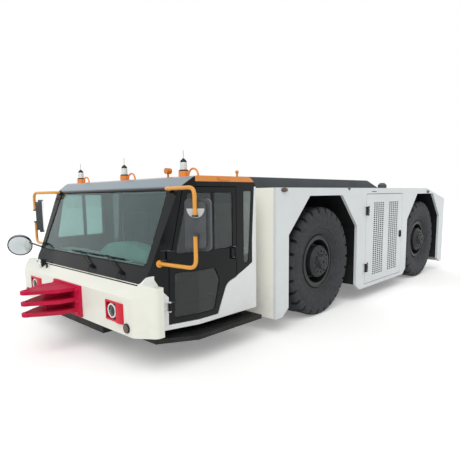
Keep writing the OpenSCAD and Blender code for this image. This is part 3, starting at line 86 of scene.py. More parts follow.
# %% [markdown]
# ## Colours and nodes
#
# Colours are picked as sRGB hex values, as on a paint card, and Blender's nodes work in linear
# light, so one function turns the one into the other. A second small function adds any node with
# its settings and links: each material below is then a short list of what feeds what. Most
# surfaces are mottled by dust or handling, so that cloudy pattern and the mixing of two colours
# are written once.

# %% Helpers for every material
def paint_card(code):
    """A hex colour from a paint card as a linear RGBA value."""
    parts = [int(code[i:i + 2], 16) / 255 for i in (1, 3, 5)]
    return (*[c / 12.92 if c <= 0.04045 else ((c + 0.055) / 1.055) ** 2.4 for c in parts], 1.0)


def add(tree, kind, inputs=None, **settings):
    """Adds a node, sets its settings, and fills or links its inputs."""
    node = tree.nodes.new("ShaderNode" + kind)
    for name, value in settings.items():
        setattr(node, name, value)
    for key, value in (inputs or {}).items():
        if isinstance(value, bpy.types.NodeSocket):
            tree.links.new(value, node.inputs[key])
        else:
            node.inputs[key].default_value = value
    return node


def start(name, **values):
    """A new material: its tree, its shader and its Object coordinates."""
    material = bpy.data.materials.new(name)
    material.use_nodes = True
    tree = material.node_tree
    shader = tree.nodes["Principled BSDF"]
    for key, value in values.items():
        shader.inputs[key.replace("_", " ")].default_value = value
    where = add(tree, "TexCoord").outputs["Object"]
    return material, tree, shader, where


def mottled(tree, where, size_mm, low, high, detail=3.0):
    """Soft patches of about size_mm that run from low to high."""
    cloud = add(tree, "TexNoise", {"Vector": where, "Scale": 1 / (size_mm * MM), "Detail": detail})
    span = {"Value": cloud.outputs[0], "From Min": 0.3, "From Max": 0.7, "To Min": low, "To Max": high}
    return add(tree, "MapRange", span).outputs[0]


def mixed(tree, share, first, second):
    """Two colours mixed by a share. Each is a hex code or what another node puts out."""
    ends = [paint_card(c) if isinstance(c, str) else c for c in (first, second)]
    return add(tree, "Mix", {0: share, 6: ends[0], 7: ends[1]}, data_type="RGBA").outputs[2]


def feed(tree, shader, **sources):
    """Links what other nodes put out to inputs of the shader."""
    for key, source in sources.items():
        tree.links.new(source, shader.inputs[key.replace("_", " ")])


def dress(material, *names):
    """Gives CAD solids a finish, and hands it on for pieces modelled later."""
    for name in names:
        nodes[name].data.materials.clear()
        nodes[name].data.materials.append(material)
    return material


print("material helpers ready")

# %% [markdown]
# ## Painted steel
#
# Nearly all of the outside is sheet and plate with sprayed paint. Sprayed paint is never one flat
# colour: it has a faint cloudiness, a fine orange-peel skin and, low down, a film of road dust.
# On dark paint a pale-blue painted reflection of the sky is laid on the faces that look up.
# All the paints are the same recipe with other colours, so one function mixes them. The orange
# peel is really 1 to 2 mm across and is drawn at 6 mm, because finer would not show from here.

# %% Paints
PEEL_MM = 6
DUST_PATCH_MM, GLOSS_PATCH_MM = 90, 260
DUST_TOP, DUST_LOW = 0.75, 0.15
SKY_SHEEN_TILT = (0.6, 0.95)
SKY_SHEEN_SHARE = 0.85


def paint(name, colour, shade, dust="#8d8a83", dust_share=0.12, rough=(0.28, 0.42), peel=0.05,
          cloud_mm=700, shine=0.5, sky_sheen=None):
    """Sprayed paint, dusty low down and, if asked, with a painted sky reflection on the faces that look up.
    """
    material, tree, shader, where = start(name, IOR=1.5, Specular_IOR_Level=shine)
    base = mixed(tree, mottled(tree, where, cloud_mm, 0.0, 1.0), colour, shade)
    height = add(tree, "SeparateXYZ", {"Vector": where}).outputs["Z"]
    low_down = add(tree, "MapRange", {"Value": height, "From Min": DUST_TOP, "From Max": DUST_LOW,
                                      "To Min": 0.0, "To Max": dust_share}).outputs[0]
    patchy = mottled(tree, where, DUST_PATCH_MM, 0.3, 1.4)
    haze = add(tree, "Math", {0: low_down, 1: patchy}, operation="MULTIPLY").outputs[0]
    worn = mixed(tree, haze, base, dust)
    # a painted reflection of the sky: a pale-blue colour on the faces that look up
    if sky_sheen:
        normal = add(tree, "NewGeometry").outputs["Normal"]
        facing = add(tree, "SeparateXYZ", {"Vector": normal}).outputs["Z"]
        sky_sheen_mask = add(tree, "MapRange", {"Value": facing, "From Min": SKY_SHEEN_TILT[0], "From Max": SKY_SHEEN_TILT[1],
                                       "To Min": 0.0, "To Max": SKY_SHEEN_SHARE})
        worn = mixed(tree, sky_sheen_mask.outputs[0], worn, sky_sheen)
    skin = add(tree, "TexNoise", {"Vector": where, "Scale": 1 / (PEEL_MM * MM), "Detail": 1.0})
    bump = add(tree, "Bump", {"Height": skin.outputs[0], "Distance": peel * MM, "Strength": 0.5})
    gloss = mottled(tree, where, GLOSS_PATCH_MM, *rough)
    feed(tree, shader, Base_Color=worn, Roughness=gloss, Normal=bump.outputs[0])
    return material


# two-pack white on the cab's sheet metal: clean, cool white with a soft gloss
dress(paint("white_two_pack_paint", "#e9ebea", "#e1e4e3"),
      "cab_side_panels", "cab_corner_panels", "cab_rear_wall")
# the thick side plates, the tail and the engine doors: the white a shade greyer, painted shade of faces
# turned from the light
dress(paint("white_paint_greyed_as_painted_shade", "#dde2e3", "#d5dadb"), "side_panel_left", "side_panel_right",
      "tail_panel", "engine_door_left", "engine_door_right")
# the bumper and the shoulder are a touch warmer; the shoulder's paint is brighter still, painted light on a
# face the cab shades
dress(paint("cream_two_pack_paint", "#eaebe0", "#e3e4d8"), "bumper")
dress(paint("cream_paint_brightened_as_painted_light", "#fbfaf1", "#f6f5ea"), "shoulder_bulkhead")
# gloss black on the cab's pillars and doors: deep, with a weak mirror of the sky and a painted sky
# reflection on top faces
dress(paint("black_gloss_paint", "#0e1012", "#131618", dust_share=0.03, rough=(0.14, 0.24), peel=0.03,
            shine=0.2, sky_sheen="#a8bac7"), "cab_frame", "cab_door_left", "cab_door_right", "round_mirror")
# crimson machinery enamel on the hitches
crimson_paint = dress(paint("crimson_machine_enamel", "#cf1746", "#b5123b", rough=(0.4, 0.55), peel=0.1,
                            cloud_mm=180, shine=0.12), "front_hitch", "rear_hitch")
# signal red on the headlamp frames
dress(paint("red_lamp_enamel", "#d61f38", "#c01a31", rough=(0.25, 0.4), shine=0.2), "headlamp_frames")
# orange roof, and the yellower orange of the mirror tubes
dress(paint("orange_two_pack_paint", "#e4903f", "#dc8637", rough=(0.25, 0.4)), "cab_roof", "beacon_guards")
tube_paint = dress(paint("amber_tube_paint", "#e7a23f", "#dc9634", rough=(0.22, 0.36)), "mirror_arms")
# charcoal powder coat on the deck and its cover: matt, slightly speckled
charcoal_coat = dress(paint("charcoal_powder_coat", "#5c6164", "#54595c", rough=(0.5, 0.65), peel=0.2,
                            shine=0.25), "deck_cover", "deck", "breather_stub")
# black chassis paint: satin, a little dusty below
chassis_black = dress(paint("black_chassis_paint", "#17191a", "#131516", dust="#3f3d39", dust_share=0.3,
                            rough=(0.5, 0.7), shine=0.25),
                      "chassis_frame", "arch_liners", "front_axle", "rear_axle", "running_boards",
                      "cab_floor")
# bare-looking grey engine enamel
dress(paint("grey_engine_enamel", "#3c4042", "#313537", rough=(0.4, 0.6)), "engine_block")
# black wheel paint with brake dust
wheel_black = dress(paint("black_wheel_enamel", "#232527", "#2b2c2d", dust="#4b4843", dust_share=0.25,
                          rough=(0.35, 0.55), cloud_mm=120, shine=0.35),
                    *[n for n in nodes if n.startswith(("wheel_", "knuckle_"))])
print("paints dressed")

# %% [markdown]
# ## Rubber, glass and plastic
#
# Tyre rubber is matt and carries pale dust in its hollows. The cab glass has a light teal tint: it
# shows the sky in front and the dash, seats and steering wheel behind. Moulded plastics have a fine
# grain. Glass and plastics are each one recipe with other colours, as the paints are.

# %% Other finishes
RUBBER_DUST_MM, RUBBER_SKIN_MM, RUBBER_GLOSS_MM = 60, 9, 40
GLASS_CLOUD_MM, GLASS_SMEAR_MM = 500, 180
PLASTIC_CLOUD_MM, PLASTIC_GLOSS_MM = 140, 60
WAIST, WAIST_BLEND = 1.03, 0.02

# black tyre rubber, moulded: matt, greyed by dust, with a fine skin
rubber, tree, shader, where = start("tyre_rubber", IOR=1.52, Specular_IOR_Level=0.3)
blend = mixed(tree, mottled(tree, where, RUBBER_DUST_MM, 0.0, 0.7, 5.0), "#2b2d30", "#3d3f42")
grained = mottled(tree, where, RUBBER_SKIN_MM, 0.0, 1.0)
skin = add(tree, "Bump", {"Height": grained, "Distance": 0.4 * MM, "Strength": 0.6})
gloss = mottled(tree, where, RUBBER_GLOSS_MM, 0.62, 0.8)
feed(tree, shader, Base_Color=blend, Roughness=gloss, Normal=skin.outputs[0])
dress(rubber, *[n for n in nodes if n.startswith("tyre_")])


def glazing(name, colour, shade, ior=1.5, through=1.0, painted_shade_below=None, gleam="#ffffff"):
    """Tinted glass, darkened below the doors' waist as painted shade of the dim cab behind, if asked."""
    material, tree, shader, where = start(name, IOR=ior, Transmission_Weight=through,
                                          Specular_Tint=paint_card(gleam))
    tint = mixed(tree, mottled(tree, where, GLASS_CLOUD_MM, 0.0, 1.0), colour, shade)
    # painted shade: the glass is darker below the waist, where the cab behind it is dim
    if painted_shade_below:
        height = add(tree, "SeparateXYZ", {"Vector": where}).outputs["Z"]
        below = add(tree, "MapRange", {"Value": height, "From Min": WAIST + WAIST_BLEND,
                                       "From Max": WAIST - WAIST_BLEND})
        tint = mixed(tree, below.outputs[0], tint, painted_shade_below)
    feed(tree, shader, Base_Color=tint, Roughness=mottled(tree, where, GLASS_SMEAR_MM, 0.01, 0.04))
    return material


# float glass with a teal tint: nearly smooth, it mirrors the sky weakly; darker low in the doors as painted
# shade of the dim cab
glass = dress(glazing("teal_tinted_glass", "#a9c3c0", "#9cb7b5", painted_shade_below="#6e7a78"),
              "door_glass_left", "door_glass_right")
# the windscreen is solar-control glass: its coating mirrors more of the sky
dress(glazing("solar_control_glass", "#b4d2cd", "#a6c5c0", ior=1.62, gleam="#cfe9ee"), "windscreen")
# the small rear quarter panes carry a film of dust, which makes them paler; painted shade darkens them
# below the waist
dress(glazing("dusty_quarter_glass", "#a9b8b3", "#97a6a2", through=0.62, painted_shade_below="#5b6563"),
      "quarter_windows")


def moulded(name, colour, shade, rough=(0.45, 0.6), grain_mm=4, depth_mm=0.25, shine=0.5, metal=0.0):
    """Plastic, cloth or bare metal with a fine grain."""
    material, tree, shader, where = start(name, Specular_IOR_Level=shine, Metallic=metal)
    base = mixed(tree, mottled(tree, where, PLASTIC_CLOUD_MM, 0.0, 1.0), colour, shade)
    grain = add(tree, "Bump", {"Height": mottled(tree, where, grain_mm, 0.0, 1.0, 1.0),
                               "Distance": depth_mm * MM, "Strength": 0.5})
    gloss = mottled(tree, where, PLASTIC_GLOSS_MM, *rough)
    feed(tree, shader, Base_Color=base, Roughness=gloss, Normal=grain.outputs[0])
    return material


# padded vinyl over foam on the dash: pale grey-green, softly grained
dash_vinyl = dress(moulded("teal_dash_vinyl", "#b9ddd3", "#add0c6", rough=(0.5, 0.65), shine=0.3),
                   "dashboard")
# black ABS trim, moulded with a fine grain
trim_black = dress(moulded("black_moulded_trim", "#151617", "#1c1d1e", shine=0.3),
                   "steering_column", "wipers", "ledge_lamp_right")
# dark needle felt that lines the cab; its dark tone is partly painted shade of the cab's dim inside
lining_grey = moulded("dark_felt_lining_and_painted_shade", "#26332f", "#1f2b28", rough=(0.85, 0.95), shine=0.15)
# seals of black EPDM rubber: quite matt
seal_rubber = moulded("black_seal_rubber", "#121313", "#181919", rough=(0.65, 0.8), shine=0.2)
# grey ABS shells of the mirrors: two tones, the rim lighter than the back
mirror_grey = dress(moulded("grey_mirror_shell", "#4d5053", "#434649", rough=(0.35, 0.5), shine=0.35),
                    "mirror_heads")
mirror_pale = moulded("pale_mirror_clamp", "#c4c6c6", "#b3b6b6", rough=(0.4, 0.55))
# clear acrylic of lamps: bright and glossy
clear_lens = dress(moulded("clear_lamp_lens", "#e4ebea", "#d6dfde", rough=(0.08, 0.16), depth_mm=0.05),
                   "headlamps", "beacons")
dress(moulded("amber_lamp_lens", "#dd8f2c", "#c97d24", rough=(0.12, 0.2), depth_mm=0.05), "roof_lamps")
marker_lens = dress(moulded("dark_marker_lens", "#5d4a38", "#4b3c30", rough=(0.15, 0.25), depth_mm=0.05),
                    "marker_lamps")
tail_lens = dress(moulded("red_tail_lens", "#a8161d", "#8f1118", rough=(0.12, 0.2), depth_mm=0.05),
                  "tail_lamps")
# chromed reflectors and zinc-plated bolts
chrome = moulded("polished_chrome", "#d9dcdd", "#c9cdcf", rough=(0.06, 0.14), depth_mm=0.02, metal=1.0)
zinc = moulded("zinc_plated_steel", "#b9bcbc", "#a3a7a8", rough=(0.3, 0.45), depth_mm=0.1, metal=1.0)
# woven seat cloth: matt, with a fine rib
seat_cloth = dress(moulded("grey_seat_cloth", "#4a4f53", "#3f4447", rough=(0.8, 0.95), grain_mm=3,
                           depth_mm=0.6), "seats")
print("other finishes dressed")

# %% [markdown]
# ## Soft edges
#
# Pressed and flame-cut plate has no razor edges: paint and grinding leave a radius of a few
# millimetres, and that narrow band catches the light. The solids come as loose triangles, so a
# Weld modifier joins them first and a Bevel modifier then rounds what is sharper than 30 degrees.

# %% Rounded plate edges
SAME_PLACE = 0.05 * MM
SHARP = 30


def soften(width_mm, *names):
    """Rounds the sharp edges of CAD solids with modifiers, leaving their meshes alone."""
    for name in names:
        weld = nodes[name].modifiers.new("weld", "WELD")
        weld.merge_threshold = SAME_PLACE
        edge = nodes[name].modifiers.new("edge", "BEVEL")
        edge.width = width_mm * MM
        edge.segments = 2
        edge.limit_method = "ANGLE"
        edge.angle_limit = math.radians(SHARP)


soften(14, "bumper")
soften(5, "front_hitch", "rear_hitch", "running_boards", "deck_cover", "headlamp_frames", "tail_lamps")
soften(8, "mirror_heads", "dashboard")
print("edges softened")

# %% [markdown]
# ## Ways to model a piece
#
# A piece is made as by hand: a primitive is set down, shaped in edit mode and finished. The same
# few moves come back all the time: a wire traced from point to point, a wire spun about an axis
# as on a lathe, an outline cut from sheet, a block with rounded edges, a bent tube, and a ring
# of copies. They are written once here, and each leaves its part in object mode at the origin.

# %% Modelling moves
EASE_SHARE = 0.45


def fresh():
    """Object mode with nothing selected, as before every new piece."""
    if bpy.context.object and bpy.context.object.mode != "OBJECT":
        bpy.ops.object.mode_set(mode="OBJECT")
    bpy.ops.object.select_all(action="DESELECT")


def pick(part):
    """Selects one part alone, as the active one."""
    fresh()
    part.select_set(True)
    bpy.context.view_layer.objects.active = part


def grab():
    """Edit mode with all of the active part selected."""
    bpy.ops.object.mode_set(mode="EDIT")
    bpy.ops.mesh.select_all(action="SELECT")


def made(finish, soft=35):
    """Leaves edit mode, shades the part smooth up to an angle and gives it its finish."""
    bpy.ops.object.mode_set(mode="OBJECT")
    part = bpy.context.object
    part.data.materials.clear()
    part.data.materials.append(finish)
    bpy.ops.object.shade_smooth_by_angle(angle=math.radians(soft))
    return part


def trace(points):
    """Draws a wire through points by extruding one vertex, and stays in edit mode."""
    fresh()
    bpy.ops.mesh.primitive_plane_add(size=MM, location=points[0])
    bpy.ops.object.transform_apply()
    grab()
    bpy.ops.mesh.merge(type="CENTER")
    for here, there in zip(points, points[1:]):
        bpy.ops.mesh.extrude_region_move(TRANSFORM_OT_translate={"value": Vector(there) - Vector(here)})
    bpy.ops.mesh.select_all(action="SELECT")


def turned(profile, centre, axis, finish, steps=32, soft=35):
    """Spins a profile of (radius, along) points about an axis through centre."""
    axis = Vector(axis).normalized()
    side = axis.orthogonal().normalized()
    trace([Vector(centre) + side * r + axis * a for r, a in profile])
    bpy.ops.mesh.spin(steps=steps, angle=2 * math.pi, center=centre, axis=axis)
    bpy.ops.mesh.select_all(action="SELECT")
    bpy.ops.mesh.remove_doubles(threshold=SAME_PLACE)
    bpy.ops.mesh.normals_make_consistent(inside=False)
    return made(finish, soft)


def sheet_cut(outline, depth, finish, edge=0.0, soft=35):
    """Fills an outline and extrudes it by a depth vector, with rounded edges if asked."""
    trace(outline)
    bpy.ops.mesh.edge_face_add()
    bpy.ops.mesh.extrude_region_move(TRANSFORM_OT_translate={"value": depth})
    bpy.ops.mesh.select_all(action="SELECT")
    bpy.ops.mesh.normals_make_consistent(inside=False)
    if edge:
        bpy.ops.mesh.bevel(offset=edge, segments=2, affect="EDGES")
    return made(finish, soft)


def slab(low, high, finish, edge=0.004, soft=35):
    """A block between two corners with all its edges rounded."""
    fresh()
    middle = [(a + b) / 2 for a, b in zip(low, high)]
    sides = [abs(b - a) for a, b in zip(low, high)]
    bpy.ops.mesh.primitive_cube_add(size=1, location=middle, scale=sides)
    bpy.ops.object.transform_apply()
    grab()
    bpy.ops.mesh.bevel(offset=edge, segments=2, affect="EDGES")
    return made(finish, soft)


def eased(points, radius, closed=False, steps=5):
    """Replaces each corner of a run of points by a short curve of about this radius."""
    spots = [Vector(p) for p in points]
    count = len(spots)
    path = []
    for i, here in enumerate(spots):
        if not closed and i in (0, count - 1):
            path.append(here)
            continue
        before, after = spots[i - 1], spots[(i + 1) % count]
        reach = min(radius, (before - here).length * EASE_SHARE, (after - here).length * EASE_SHARE)
        first = here + (before - here).normalized() * reach
        last = here + (after - here).normalized() * reach
        for k in range(steps + 1):
            t = k / steps
            path.append(first * (1 - t) ** 2 + here * 2 * t * (1 - t) + last * t ** 2)
    return path


def tube(path, radius, finish, closed=False, around=3):
    """A round tube along a path: a curve with a bevel, turned into a mesh."""
    fresh()
    bpy.ops.curve.primitive_bezier_curve_add()
    curve = bpy.context.object.data
    curve.splines.clear()
    spline = curve.splines.new("POLY")
    spline.points.add(len(path) - 1)
    for knot, spot in zip(spline.points, path):
        knot.co = (*spot, 1)
    spline.use_cyclic_u = closed
    curve.dimensions = "3D"
    curve.bevel_depth = radius
    curve.bevel_resolution = around
    curve.use_fill_caps = not closed
    bpy.ops.object.convert(target="MESH")
    return made(finish, 50)


def ring_of(part, count, centre, axis):
    """Repeats a part around an axis."""
    pick(part)
    grab()
    turn_by = 2 * math.pi * (count - 1) / count
    bpy.ops.mesh.spin(steps=count - 1, angle=turn_by, center=centre, axis=axis, dupli=True)
    bpy.ops.object.mode_set(mode="OBJECT")
    return part


def bolt(place, axis, across, height, finish):
    """A hexagon head with its chamfer, spun with six steps."""
    corner = across / math.sqrt(3)
    return turned([(0, 0), (corner, 0), (corner, height * 0.75), (corner * 0.85, height), (0, height)],
                  place, axis, finish, steps=6, soft=20)


def twin(part, shift=(0, 0, 0), mirrored=False):
    """A copy with its own mesh, moved or mirrored to the other side of the middle line."""
    pick(part)
    bpy.ops.object.duplicate()
    copy = bpy.context.object
    if mirrored:
        bpy.ops.transform.resize(value=(1, -1, 1), center_override=(0, 0, 0))
    copy.location += Vector(shift)
    bpy.ops.object.transform_apply()
    if mirrored:
        grab()
        bpy.ops.mesh.normals_make_consistent(inside=False)
        bpy.ops.object.mode_set(mode="OBJECT")
    return copy


def settle(name, body, slot, *parts):
    """Joins parts into one named piece that rides on a body."""
    fresh()
    for part in parts:
        part.select_set(True)
    piece = parts[0]
    bpy.context.view_layer.objects.active = piece
    if len(parts) > 1:
        bpy.ops.object.join()
    piece.name = piece.data.name = name
    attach(piece, body)
    return piece


print("modelling moves ready")

# %% [markdown]
# ## Tyres
#
# A tractor tyre is a thick carcass with rings on its sidewall and a row of blocks, the lugs, over
# each shoulder. A displaced torus would smear the lugs. Here the carcass is spun as on a lathe, one
# lug is cut out, rounded and repeated round both shoulders, and the tyre is copied to each wheel.
# Outlines that are spun or cut here are lists of (radius, along the axle) in metres.

# %% One lugged tyre, then four
TRACK_HALF, AXLE_HEIGHT, REAR_AXLE = 1240, 760, -3710
WHEELS = {"front_left": at(0, TRACK_HALF, AXLE_HEIGHT), "front_right": at(0, -TRACK_HALF, AXLE_HEIGHT),
          "rear_left": at(REAR_AXLE, TRACK_HALF, AXLE_HEIGHT),
          "rear_right": at(REAR_AXLE, -TRACK_HALF, AXLE_HEIGHT)}
LUGS = 26
LUG_WIDTH = 0.134
LUG_EDGE = 0.006
CARCASS_STEPS = 104
AXLE_WAY = Vector((0, 1, 0))
# bead, sidewall with two raised rings, shoulder, floor between the lugs, middle of the tread
flank = [(0.3265, 0.118), (0.330, 0.131), (0.3695, 0.133), (0.3755, 0.141), (0.384, 0.152), (0.402, 0.163),
         (0.421, 0.174), (0.424, 0.180), (0.436, 0.182), (0.440, 0.180), (0.474, 0.195), (0.477, 0.199),
         (0.487, 0.200), (0.491, 0.1985), (0.530, 0.209), (0.575, 0.214), (0.630, 0.2145), (0.662, 0.2125),
         (0.684, 0.204), (0.700, 0.150), (0.716, 0.096), (0.752, 0.0915), (0.7585, 0.085)]
# a lug from the tread over the shoulder, and back through the carcass
lug_side = [(0.7598, 0.086), (0.7598, 0.150), (0.757, 0.172), (0.748, 0.190), (0.731, 0.2035),
            (0.706, 0.2125), (0.676, 0.2152), (0.650, 0.2135), (0.655, 0.180), (0.690, 0.086)]
home = WHEELS["front_left"]
loop = flank + [(r, -a) for r, a in reversed(flank)]
parts = [turned(loop + loop[:1], home, AXLE_WAY, rubber, CARCASS_STEPS, soft=30)]
for side in (1, -1):
    outline = [home + Vector((-LUG_WIDTH / 2, side * a, r)) for r, a in lug_side]
    lug = sheet_cut(outline, (LUG_WIDTH, 0, 0), rubber, LUG_EDGE, soft=25)
    parts.append(ring_of(lug, LUGS, home, AXLE_WAY))
tyre = settle("lugged_tyre_front_left", "wheel_front_left", "rubber", *parts)
tyres = {"front_left": tyre}
for place in ("front_right", "rear_left", "rear_right"):
    copy = twin(tyre, WHEELS[place] - home)
    tyres[place] = settle("lugged_tyre_" + place, "wheel_" + place, "rubber", copy)
for place, piece in tyres.items():
    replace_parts(piece, "tyre_" + place)
print("tyres:", len(tyres), "with", LUGS, "lugs a side and", len(tyre.data.polygons), "faces each")

# %% [markdown]
# ## Hubs
#
# The planetary hub closes with a bolted cover and a small cap, and the rim carries a lock ring and
# a ring of nuts. Bolts are hexagon heads, spun with six steps, chamfered and repeated in rings.

# %% Hub bolts, cap ring and rim nuts
CAP_FACE = 0.255
CAP_PLUG = [(0, 0), (0.030, 0), (0.030, 0.008), (0.016, 0.012), (0.014, 0.006), (0, 0.006)]
# how many, on which radius, how far out along the axle, across flats, height: cover, cap, rim
HUB_BOLTS = ((12, 0.150, 0.210, 0.030, 0.014), (6, 0.066, CAP_FACE, 0.018, 0.008),
             (16, 0.262, -0.070, 0.036, 0.030))
# the cover's lip, the rim's lock ring and the hub's collar, each with its steps
HUB_RINGS = (([(0.104, 0.202), (0.117, 0.202), (0.117, 0.214), (0.110, 0.220), (0.103, 0.220),
               (0.104, 0.202)], 48),
             ([(0.352, 0.148), (0.3675, 0.148), (0.3695, 0.155), (0.364, 0.161), (0.353, 0.160),
               (0.352, 0.148)], 72),
             ([(0.2245, 0.030), (0.236, 0.030), (0.238, 0.044), (0.236, 0.058), (0.2245, 0.058),
               (0.2245, 0.030)], 64))


def hub_dress(place, side):
    """The small parts on one hub, which turn with its wheel."""
    centre = WHEELS[place]
    out = Vector((0, side, 0))
    parts = []
    for count, radius, along, across, height in HUB_BOLTS:
        head = bolt(centre + out * along + Vector((0, 0, radius)), out, across, height, wheel_black)
        parts.append(ring_of(head, count, centre, out))
    parts.append(turned(CAP_PLUG, centre + out * CAP_FACE, out, wheel_black, 24))
    for outline, steps in HUB_RINGS:
        parts.append(turned(outline, centre, out, wheel_black, steps))
    settle("hub_dress_" + place, "wheel_" + place, "wheel_black", *parts)


for place, centre in WHEELS.items():
    hub_dress(place, 1 if centre.y > 0 else -1)
print("hubs dressed:", len(WHEELS))

# %% [markdown]
# ## Headlamps
#
# Each lamp is a round can on a pale plate set back in its red frame: a white ring, a bright bowl with
# its bulb and two crossed bars, and a domed lens over it all. The ring stands forward of the plate, and
# that depth is what makes it read as a lamp from the side.

# %% Reflectors, lenses and lamp plates
FORWARD = Vector((1, 0, 0))
LEFT_EDGE, RIGHT_EDGE = 825, -1057
LAMP_X, LAMP_INSET, LAMP_Z = 2976, 112, 592
PLATE_LOW, PLATE_HIGH = (2952.3, 18.5, 510.5), (2965, 213.5, 673.5)
SCREW_Y, SCREW_Z = (32, 196), (522, 660)
BAR_HALF, BAR_RADIUS, BAR_FORWARD = 0.054, 0.003, 0.0262
# can, ring, bowl, bulb and lens, each with its finish and its steps
LAMP_TURNINGS = (
    ([(0.050, -0.011), (0.070, -0.011), (0.0735, 0.006), (0.0735, 0.026), (0.068, 0.026), (0.050, 0.012),
      (0.050, -0.011)], trim_black, 48),
    ([(0.056, 0.022), (0.0738, 0.022), (0.0738, 0.029), (0.070, 0.032), (0.060, 0.031), (0.056, 0.022)],
     clear_lens, 48),
    ([(0, 0.008), (0.018, 0.008), (0.040, 0.014), (0.0585, 0.026), (0.0585, 0.020), (0.040, 0.006),
      (0, 0.002)], chrome, 48),
    ([(0, 0.024), (0.010, 0.022), (0.016, 0.016), (0.018, 0.008), (0, 0.008)], trim_black, 24),
    ([(0, 0.040), (0.025, 0.038), (0.045, 0.033), (0.059, 0.028), (0.059, 0.0265), (0.045, 0.0305),
      (0.025, 0.0355), (0, 0.0375)], glass, 40))


def headlamp(name, edge):
    """One lamp in the frame whose edge lies at this distance from the middle line."""
    centre = at(LAMP_X, edge + LAMP_INSET, LAMP_Z)
    low, high = (at(x, edge + y, z) for x, y, z in (PLATE_LOW, PLATE_HIGH))
    parts = [slab(low, high, clear_lens, edge=0.003)]
    for outline, finish, steps in LAMP_TURNINGS:
        parts.append(turned(outline, centre, FORWARD, finish, steps))
    spot = centre + FORWARD * BAR_FORWARD
    for lean in (math.radians(45), math.radians(135)):
        way = Vector((0, math.cos(lean), math.sin(lean))) * BAR_HALF
        parts.append(tube([spot - way, spot + way], BAR_RADIUS, trim_black))
    for z in SCREW_Z:
        for y in SCREW_Y:
            parts.append(bolt(at(2964.5, edge + y, z), FORWARD, 0.012, 0.006, zinc))
    return settle(name, "chassis", "lamp_lens", *parts)


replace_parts(headlamp("headlamp_left", LEFT_EDGE), "headlamps")
headlamp("headlamp_right", RIGHT_EDGE)
print("headlamps modelled")

# %% [markdown]
# ## Hitch bolts
#
# The hitch plates are bolted on along both edges, and the bolts were painted over with the plate.

# %% Plate bolts
HITCH_FACES = ((3030, 1), (-4890, -1))
BOLT_Y, BOLT_ZS = (-285, 285), (450, 578, 706)
WASHER = [(0, 0), (0.027, 0), (0.027, 0.004), (0.022, 0.006), (0, 0.006)]
BOLT_SEAT = 5
bolts = []
for face, way in HITCH_FACES:
    for y in BOLT_Y:
        for z in BOLT_ZS:
            bolts.append(turned(WASHER, at(face, y, z), (way, 0, 0), crimson_paint, 24))
            bolts.append(bolt(at(face + way * BOLT_SEAT, y, z), (way, 0, 0), 0.034, 0.018, crimson_paint))
settle("hitch_plate_bolts", "chassis", "hitch_red", *bolts)
print("hitch bolts:", len(bolts) // 2)

# %% [markdown]
# ## Wipers
#
# Each wiper has a pivot cap on the black panel, a thin arm, and a blade of rubber in a carrier that is
# parked along the foot of the glass.

# %% Two wipers
OFF_GLASS = Vector((0.9252, 0, 0.3796))
OFF_PANEL = Vector((0.8603, 0, 0.5098))
SIDEWAYS = Vector((0, 1, 0))
PIVOTS = [at(2810, y, 932.5) for y in (230, 830)]
PIVOT_CAP = [(0, 0), (0.020, 0), (0.020, 0.030), (0.015, 0.044), (0, 0.046)]
ARM_REACH = Vector((-0.038, -0.3447, 0.134))
ARM_LIFT, ARM_RADIUS = 0.041, 0.007
BLADE_BEFORE, BLADE_BEYOND = 0.336, 0.224
# the carrier, the rubber's back and its lip: distance off the carrier, radius, finish
BLADE = ((0.0, 0.006, trim_black), (-0.010, 0.006, seal_rubber), (-0.018, 0.003, seal_rubber))
CLIP_HALF = Vector((0.012, 0.030, 0.010))
parts = []
for base in PIVOTS:
    tip = base + ARM_REACH
    parts.append(turned(PIVOT_CAP, base, OFF_PANEL, trim_black, 24))
    knee = base + OFF_PANEL * ARM_LIFT
    crook = knee + (tip - knee) * 0.25 + OFF_PANEL * 0.006
    parts.append(tube(eased([knee, crook, tip], 0.05), ARM_RADIUS, trim_black))
    for lift, radius, finish in BLADE:
        ends = (tip - SIDEWAYS * BLADE_BEYOND, tip + SIDEWAYS * BLADE_BEFORE)
        parts.append(tube([end + OFF_GLASS * lift for end in ends], radius, finish))
    parts.append(slab(tip - CLIP_HALF, tip + CLIP_HALF, trim_black, 0.004))
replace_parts(settle("wiper_pair", "chassis", "trim_black", *parts), "wipers")
print("wipers modelled")

# %% [markdown]
# ## Washer hoses
#
# A thin hose hangs from each wiper pivot in a small loop and goes back into the panel. It is a fixed
# length of rubber, so its line is laid out first: down out of the pivot cap, half a turn, up again and
# a quarter turn into the panel, with no bend tighter than four diameters.

# %% Two washer hoses
HOSE = 0.006
HOSE_LIFT = 0.030
CAP_RIM = 0.019
LOOP_BEND = 0.028
ENTRY_BEND = 0.024
DOWN_LEG = 0.035
UP_LEG = 0.022
INTO_PANEL = 0.010
BEND_STEPS = 10
DOWN_PANEL = Vector((0.5098, 0, -0.8603))


def bend(start_at, ahead, inward, radius, turn_by):
    """Points of a bend that sets out from a place in one direction and curls towards another."""
    middle = start_at + inward * radius
    angles = [math.radians(turn_by) * k / BEND_STEPS for k in range(1, BEND_STEPS + 1)]
    return [middle + radius * (ahead * math.sin(a) - inward * math.cos(a)) for a in angles]


for name, base in zip(("inner", "outer"), PIVOTS):
    line = [base + OFF_PANEL * HOSE_LIFT + DOWN_PANEL * CAP_RIM]
    line.append(line[-1] + DOWN_PANEL * DOWN_LEG)
    line += bend(line[-1], DOWN_PANEL, SIDEWAYS, LOOP_BEND, 180)
    line.append(line[-1] - DOWN_PANEL * UP_LEG)
    line += bend(line[-1], -DOWN_PANEL, -OFF_PANEL, ENTRY_BEND, 90)
    line.append(line[-1] - OFF_PANEL * INTO_PANEL)
    hose = settle("washer_hose_" + name, "chassis", "trim_black", tube(line, HOSE / 2, seal_rubber))

# %% [markdown]
# ## Mirrors
#
# The mirror heads hang between an upper and a lower tube. The tubes are bent, not mitred, so each is
# a curve with eased corners. A pale half-round clamp sits where the upper tube meets the head.

